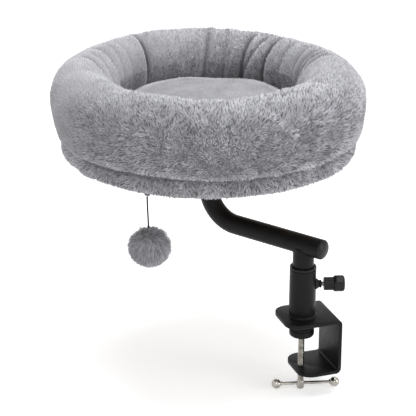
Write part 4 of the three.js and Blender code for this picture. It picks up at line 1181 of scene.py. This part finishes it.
def drill(piece, placing, radius, reach):
    """Cuts a round cross hole, and keeps the result as the piece's own mesh."""
    mesh = bpy.data.meshes.new("drill")
    count = DRILL_SIDES
    ring = [(radius * math.cos(a), radius * math.sin(a), z)
            for z in (-reach, reach) for a in round_angles(count)]
    sides = [(k, (k + 1) % count, count + (k + 1) % count, count + k) for k in range(count)]
    caps = [tuple(range(count - 1, -1, -1)), tuple(range(count, 2 * count))]
    mesh.from_pydata([placing @ Vector(point) for point in ring], [], sides + caps)
    cutter = add_object("drill", mesh)
    hole = piece.modifiers.new("hole", "BOOLEAN")
    hole.object, hole.operation, hole.solver = cutter, "DIFFERENCE", "EXACT"
    piece.modifiers.move(len(piece.modifiers) - 1, 0)
    bpy.context.view_layer.update()
    graph = bpy.context.evaluated_depsgraph_get()
    cut = bpy.data.meshes.new_from_object(piece.evaluated_get(graph))
    piece.modifiers.clear()
    piece.data = cut
    bpy.data.objects.remove(cutter)


def arm_route():
    """The arm's centre line from its free end to the flange, in its own plane."""
    offset = BED_OFFSET / MM
    start = offset - ELBOW_RADIUS
    bend = np.linspace(0, math.pi / 2, ELBOW_STEPS + 1)
    route = [(-ARM_TAIL + ARM_CAP + STUB_GAP, 0), (-ARM_TAIL / 2, 0), (0, 0), (start / 2, 0),
             *zip(start + ELBOW_RADIUS * np.sin(bend), ELBOW_RADIUS * (1 - np.cos(bend))),
             (offset, (COVER_BASE - SEAT_GAP) / MM - ARM_HEIGHT)]
    return [Vector((x, 0, z + ARM_HEIGHT)) * MM for x, z in route]


def tube_points(route, radius, sides):
    """Rings of points round a route that stays in one upright plane."""
    rings = []
    angle = round_angles(sides)[:, None]
    across = np.array([0, 1, 0])
    for index, point in enumerate(route):
        before, after = route[max(index - 1, 0)], route[min(index + 1, len(route) - 1)]
        over = np.cross(np.array((after - before).normalized()), across)
        rings.append(np.array(point) + radius * (np.cos(angle) * across + np.sin(angle) * over))
    return np.array(rings)


def add_arm():
    turn = np.array(Matrix.Rotation(ARM_YAW, 3, "Z"))
    route = arm_route()
    outer, inner = (tube_points(route, radius * MM, ARM_SIDES)
                    for radius in (ARM_RADIUS, ARM_BORE))
    points = np.concatenate([outer, inner[::-1]]) @ turn.T
    piece = closed_piece("arm_bent_tube", points.reshape(-1, 3),
                         [grid_faces(len(points), ARM_SIDES)], "black_steel", "arm", "arm_tube")
    bevelled(piece, ARM_EDGE * MM, ARM_EDGE_ANGLE)
    piece.modifiers.new("even_shading", "WEIGHTED_NORMAL")
    add_stub(turn)


def saddle(radius, angle, gap):
    """A ring of points where the stub meets the arm, in mm, with a gap between them."""
    x, y = radius * np.cos(angle), radius * np.sin(angle)
    drop = np.sqrt(np.maximum((ARM_RADIUS + gap) ** 2 - y ** 2, STUB_DROP ** 2))
    return np.stack([x, y, ARM_HEIGHT - drop], axis=-1)


def add_stub(turn):
    """The upright stub, coped to the arm, and the weld bead round the joint."""
    rings = []
    for radius, shares in ((STUB_RADIUS, np.linspace(0, 1, STUB_ROWS)),
                           (STUB_BORE, np.linspace(1, 0, STUB_ROWS))):
        top = saddle(radius, round_angles(ARM_SIDES), STUB_GAP)
        foot = top * [1, 1, 0] + [0, 0, STUB_FOOT]
        rings += [foot + (top - foot) * share for share in shares]
    points = np.array(rings) * MM @ turn.T
    piece = closed_piece("arm_stub_tube", points.reshape(-1, 3),
                         [grid_faces(len(rings), ARM_SIDES)], "black_steel", "arm", "arm_stub")
    piece.modifiers.new("even_shading", "WEIGHTED_NORMAL")
    angle = round_angles(BEAD_STEPS)
    path = saddle(STUB_RADIUS - BEAD_SINK, angle, BEAD_GAP) * MM
    way = unit(slopes(path, 0, True))
    out = unit(path * [1, 1, 0])
    out = unit(out - way * (out * way).sum(-1, keepdims=True))
    over = np.cross(way, out)
    ring = round_angles(BEAD_SIDES)[None, :, None]
    size = BEAD_RADIUS * MM * (1 + BEAD_RIPPLE * np.cos(BEAD_RIPPLES * angle))
    bead = path[:, None] + size[:, None, None] * (np.cos(ring) * out[:, None]
                                                 + np.sin(ring) * over[:, None])
    closed_piece("arm_weld_bead", (bead @ turn.T).reshape(-1, 3),
                 [grid_faces(BEAD_STEPS, BEAD_SIDES)], "black_steel", "arm")


def add_flange():
    """The end cap, and the flange with its four bolts."""
    turned_piece("arm_plug", "arm_end_cap", OUTLINES["arm_plug"],
                 along_yaw(ARM_YAW, ARM_HEIGHT, -ARM_TAIL), "black_plastic", "arm")
    disc = Matrix.Translation((BED_CENTRE[0], BED_CENTRE[1], COVER_BASE))
    turned_piece("flange_plate", "bed_flange", OUTLINES["flange_plate"], disc, "black_steel",
                 "arm", sides=128, edge=0.4)
    for number in range(1, 5):
        low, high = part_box(f"flange_screw_{number}")
        top = (high.z - low.z) / MM
        placing = Matrix.Translation(((low.x + high.x) / 2, (low.y + high.y) / 2, low.z))
        turned_piece(f"flange_bolt_{number}", f"flange_screw_{number}",
                     [*BOLT_HEAD, (2.9, top), (0, top)], placing, "zinc", "arm", sides=48,
                     edge=0.2)


# Stage, lamps and background
FLOOR_HEIGHT = -99 * MM
FLOOR_SIZE = 12.0
FLOOR_GLOW = 0.47
FLOOR_GREY = 0.9
WHITE_RAYS = ("Is Camera Ray", "Is Glossy Ray", "Is Transmission Ray")
WORLD_STRENGTH = 0.50
LAMP_TARGET = Vector((-0.08, 0.12, 0.15))
# Each lamp: its name, place, size and power
LAMPS = (
    ("top", (0.0, 0.15, 2.2), (1.4, 1.4), 38),
    ("left", (-2.0, -1.0, 1.1), (1.0, 1.4), 1),
    ("right", (1.5, -1.3, 0.6), (0.8, 1.4), 13),
    ("front", (-0.85, -2.2, 1.0), (0.8, 0.6), 5),
)


def white_for_eyes(tree):
    """1 for camera, glossy and transmission rays, and 0 for the rest."""
    path = tree.nodes.new("ShaderNodeLightPath")
    total, *others = (path.outputs[name] for name in WHITE_RAYS)
    for other in others:
        total = node(tree, "ShaderNodeMath", {0: total, 1: other}, operation="MAXIMUM")
    return total


def set_world():
    SCENE.world = bpy.data.worlds.new("studio")
    SCENE.world.use_nodes = True
    tree = SCENE.world.node_tree
    tree.nodes.clear()
    light, seen = (node(tree, "ShaderNodeBackground", {"Color": (*WHITE, 1), "Strength": strength})
                   for strength in (WORLD_STRENGTH, 1))
    mix = node(tree, "ShaderNodeMixShader", {"Fac": white_for_eyes(tree), 1: light, 2: seen})
    node(tree, "ShaderNodeOutputWorld", {"Surface": mix}, output=None)


def add_floor():
    mesh = bpy.data.meshes.new("floor")
    half = FLOOR_SIZE / 2
    corners = ((-half, -half), (half, -half), (half, half), (-half, half))
    mesh.from_pydata([(x, y, FLOOR_HEIGHT) for x, y in corners], [], [(0, 1, 2, 3)])
    paint = Paint("floor", (FLOOR_GREY,) * 3, 1.0, Specular_IOR_Level=0.0,
                  Emission_Color=(*WHITE, 1))
    glow = paint.node("Math", {0: white_for_eyes(paint.tree), 1: FLOOR_GLOW}, operation="MULTIPLY")
    paint.set({"Emission Strength": glow})
    mesh.materials.append(paint.material)
    add_object("floor", mesh)


def set_lights():
    set_world()
    for name, place, size, power in LAMPS:
        data = bpy.data.lights.new(name, "AREA")
        data.shape = "RECTANGLE"
        data.size, data.size_y = size
        data.energy = power
        lamp = add_object(name, data)
        lamp.location = place
        lamp.rotation_euler = (LAMP_TARGET - Vector(place)).to_track_quat("-Z", "Y").to_euler()
    SCENE.view_settings.view_transform = "Standard"


# The whole object
def paint_slots():
    """Makes the material of every slot."""
    dark, base = BLACKS
    PAINTS["black_steel"] = coat("powder_coat", base, 0.38, (60, 3), dark, (0.010, 0.010, 0.011),
                                 (220, 4), (0.32, 0.42), (1700, 2), 0.05, 0.5,
                                 Specular_IOR_Level=0.12)
    PAINTS["black_plastic"] = coat("moulded_plastic", base, 0.34, (90, 3), dark,
                                   (0.011, 0.011, 0.012), (400, 3), (0.28, 0.38), (2600, 1), 0.03,
                                   0.5, Specular_IOR_Level=0.2)
    PAINTS["rubber"] = coat(
        "black_rubber", (0.012, 0.012, 0.012), 0.8, (150, 3), (0.009, 0.009, 0.009),
        (0.017, 0.017, 0.017), (500, 3), (0.7, 0.9), (1500, 3), 0.08, 0.7)
    # The nickel's clouds from dark to light are painted reflection, standing in for darker
    # surroundings that it would mirror
    PAINTS["nickel"] = plated("bright_nickel", (0.26, 0.25, 0.225), (0.50, 0.48, 0.44),
                              (0.05, 0.12))
    PAINTS["zinc"] = plated("zinc_plate", (0.50, 0.51, 0.53), (0.64, 0.65, 0.67), (0.3, 0.42))
    PAINTS["plush"] = plush("deep_plush", (0.14, 0.14, 0.155), (0.70, 0.70, 0.74),
                            (0.84, 0.84, 0.88))
    PAINTS["short_plush"] = plush("short_pile", (0.32, 0.32, 0.345), (0.53, 0.53, 0.56),
                                  (0.72, 0.72, 0.76))
    PAINTS["cord"] = woven("braided_cord", (0.002, 0.002, 0.002), (0.010, 0.010, 0.011), 900)
    PAINTS["tape"] = woven("woven_tape", (0.004, 0.004, 0.004), (0.014, 0.014, 0.015), 700)


def build():
    set_camera()
    paint_slots()
    cord, leaves, length = add_cord()
    pompom = add_pompom()
    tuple(leaves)
    for add in (add_tab, add_bolster, add_cover, add_cushion, add_clamp_pieces, add_arm,
                add_flange):
        add()
    dress_node("clamp_bracket", PAINTS["black_steel"], bevel=0.6 * MM)
    dress_node("jaw_pad", PAINTS["rubber"], bevel=0.3 * MM)
    dress_node("pressure_face", PAINTS["rubber"], bevel=0.3 * MM)
    dress_node("stub_plug", PAINTS["black_plastic"])
    dress_node("base_board", plywood())
    for number in range(1, 5):
        dress_node(f"tee_nut_{number}", PAINTS["zinc"])
    add_floor()
    set_lights()


build()
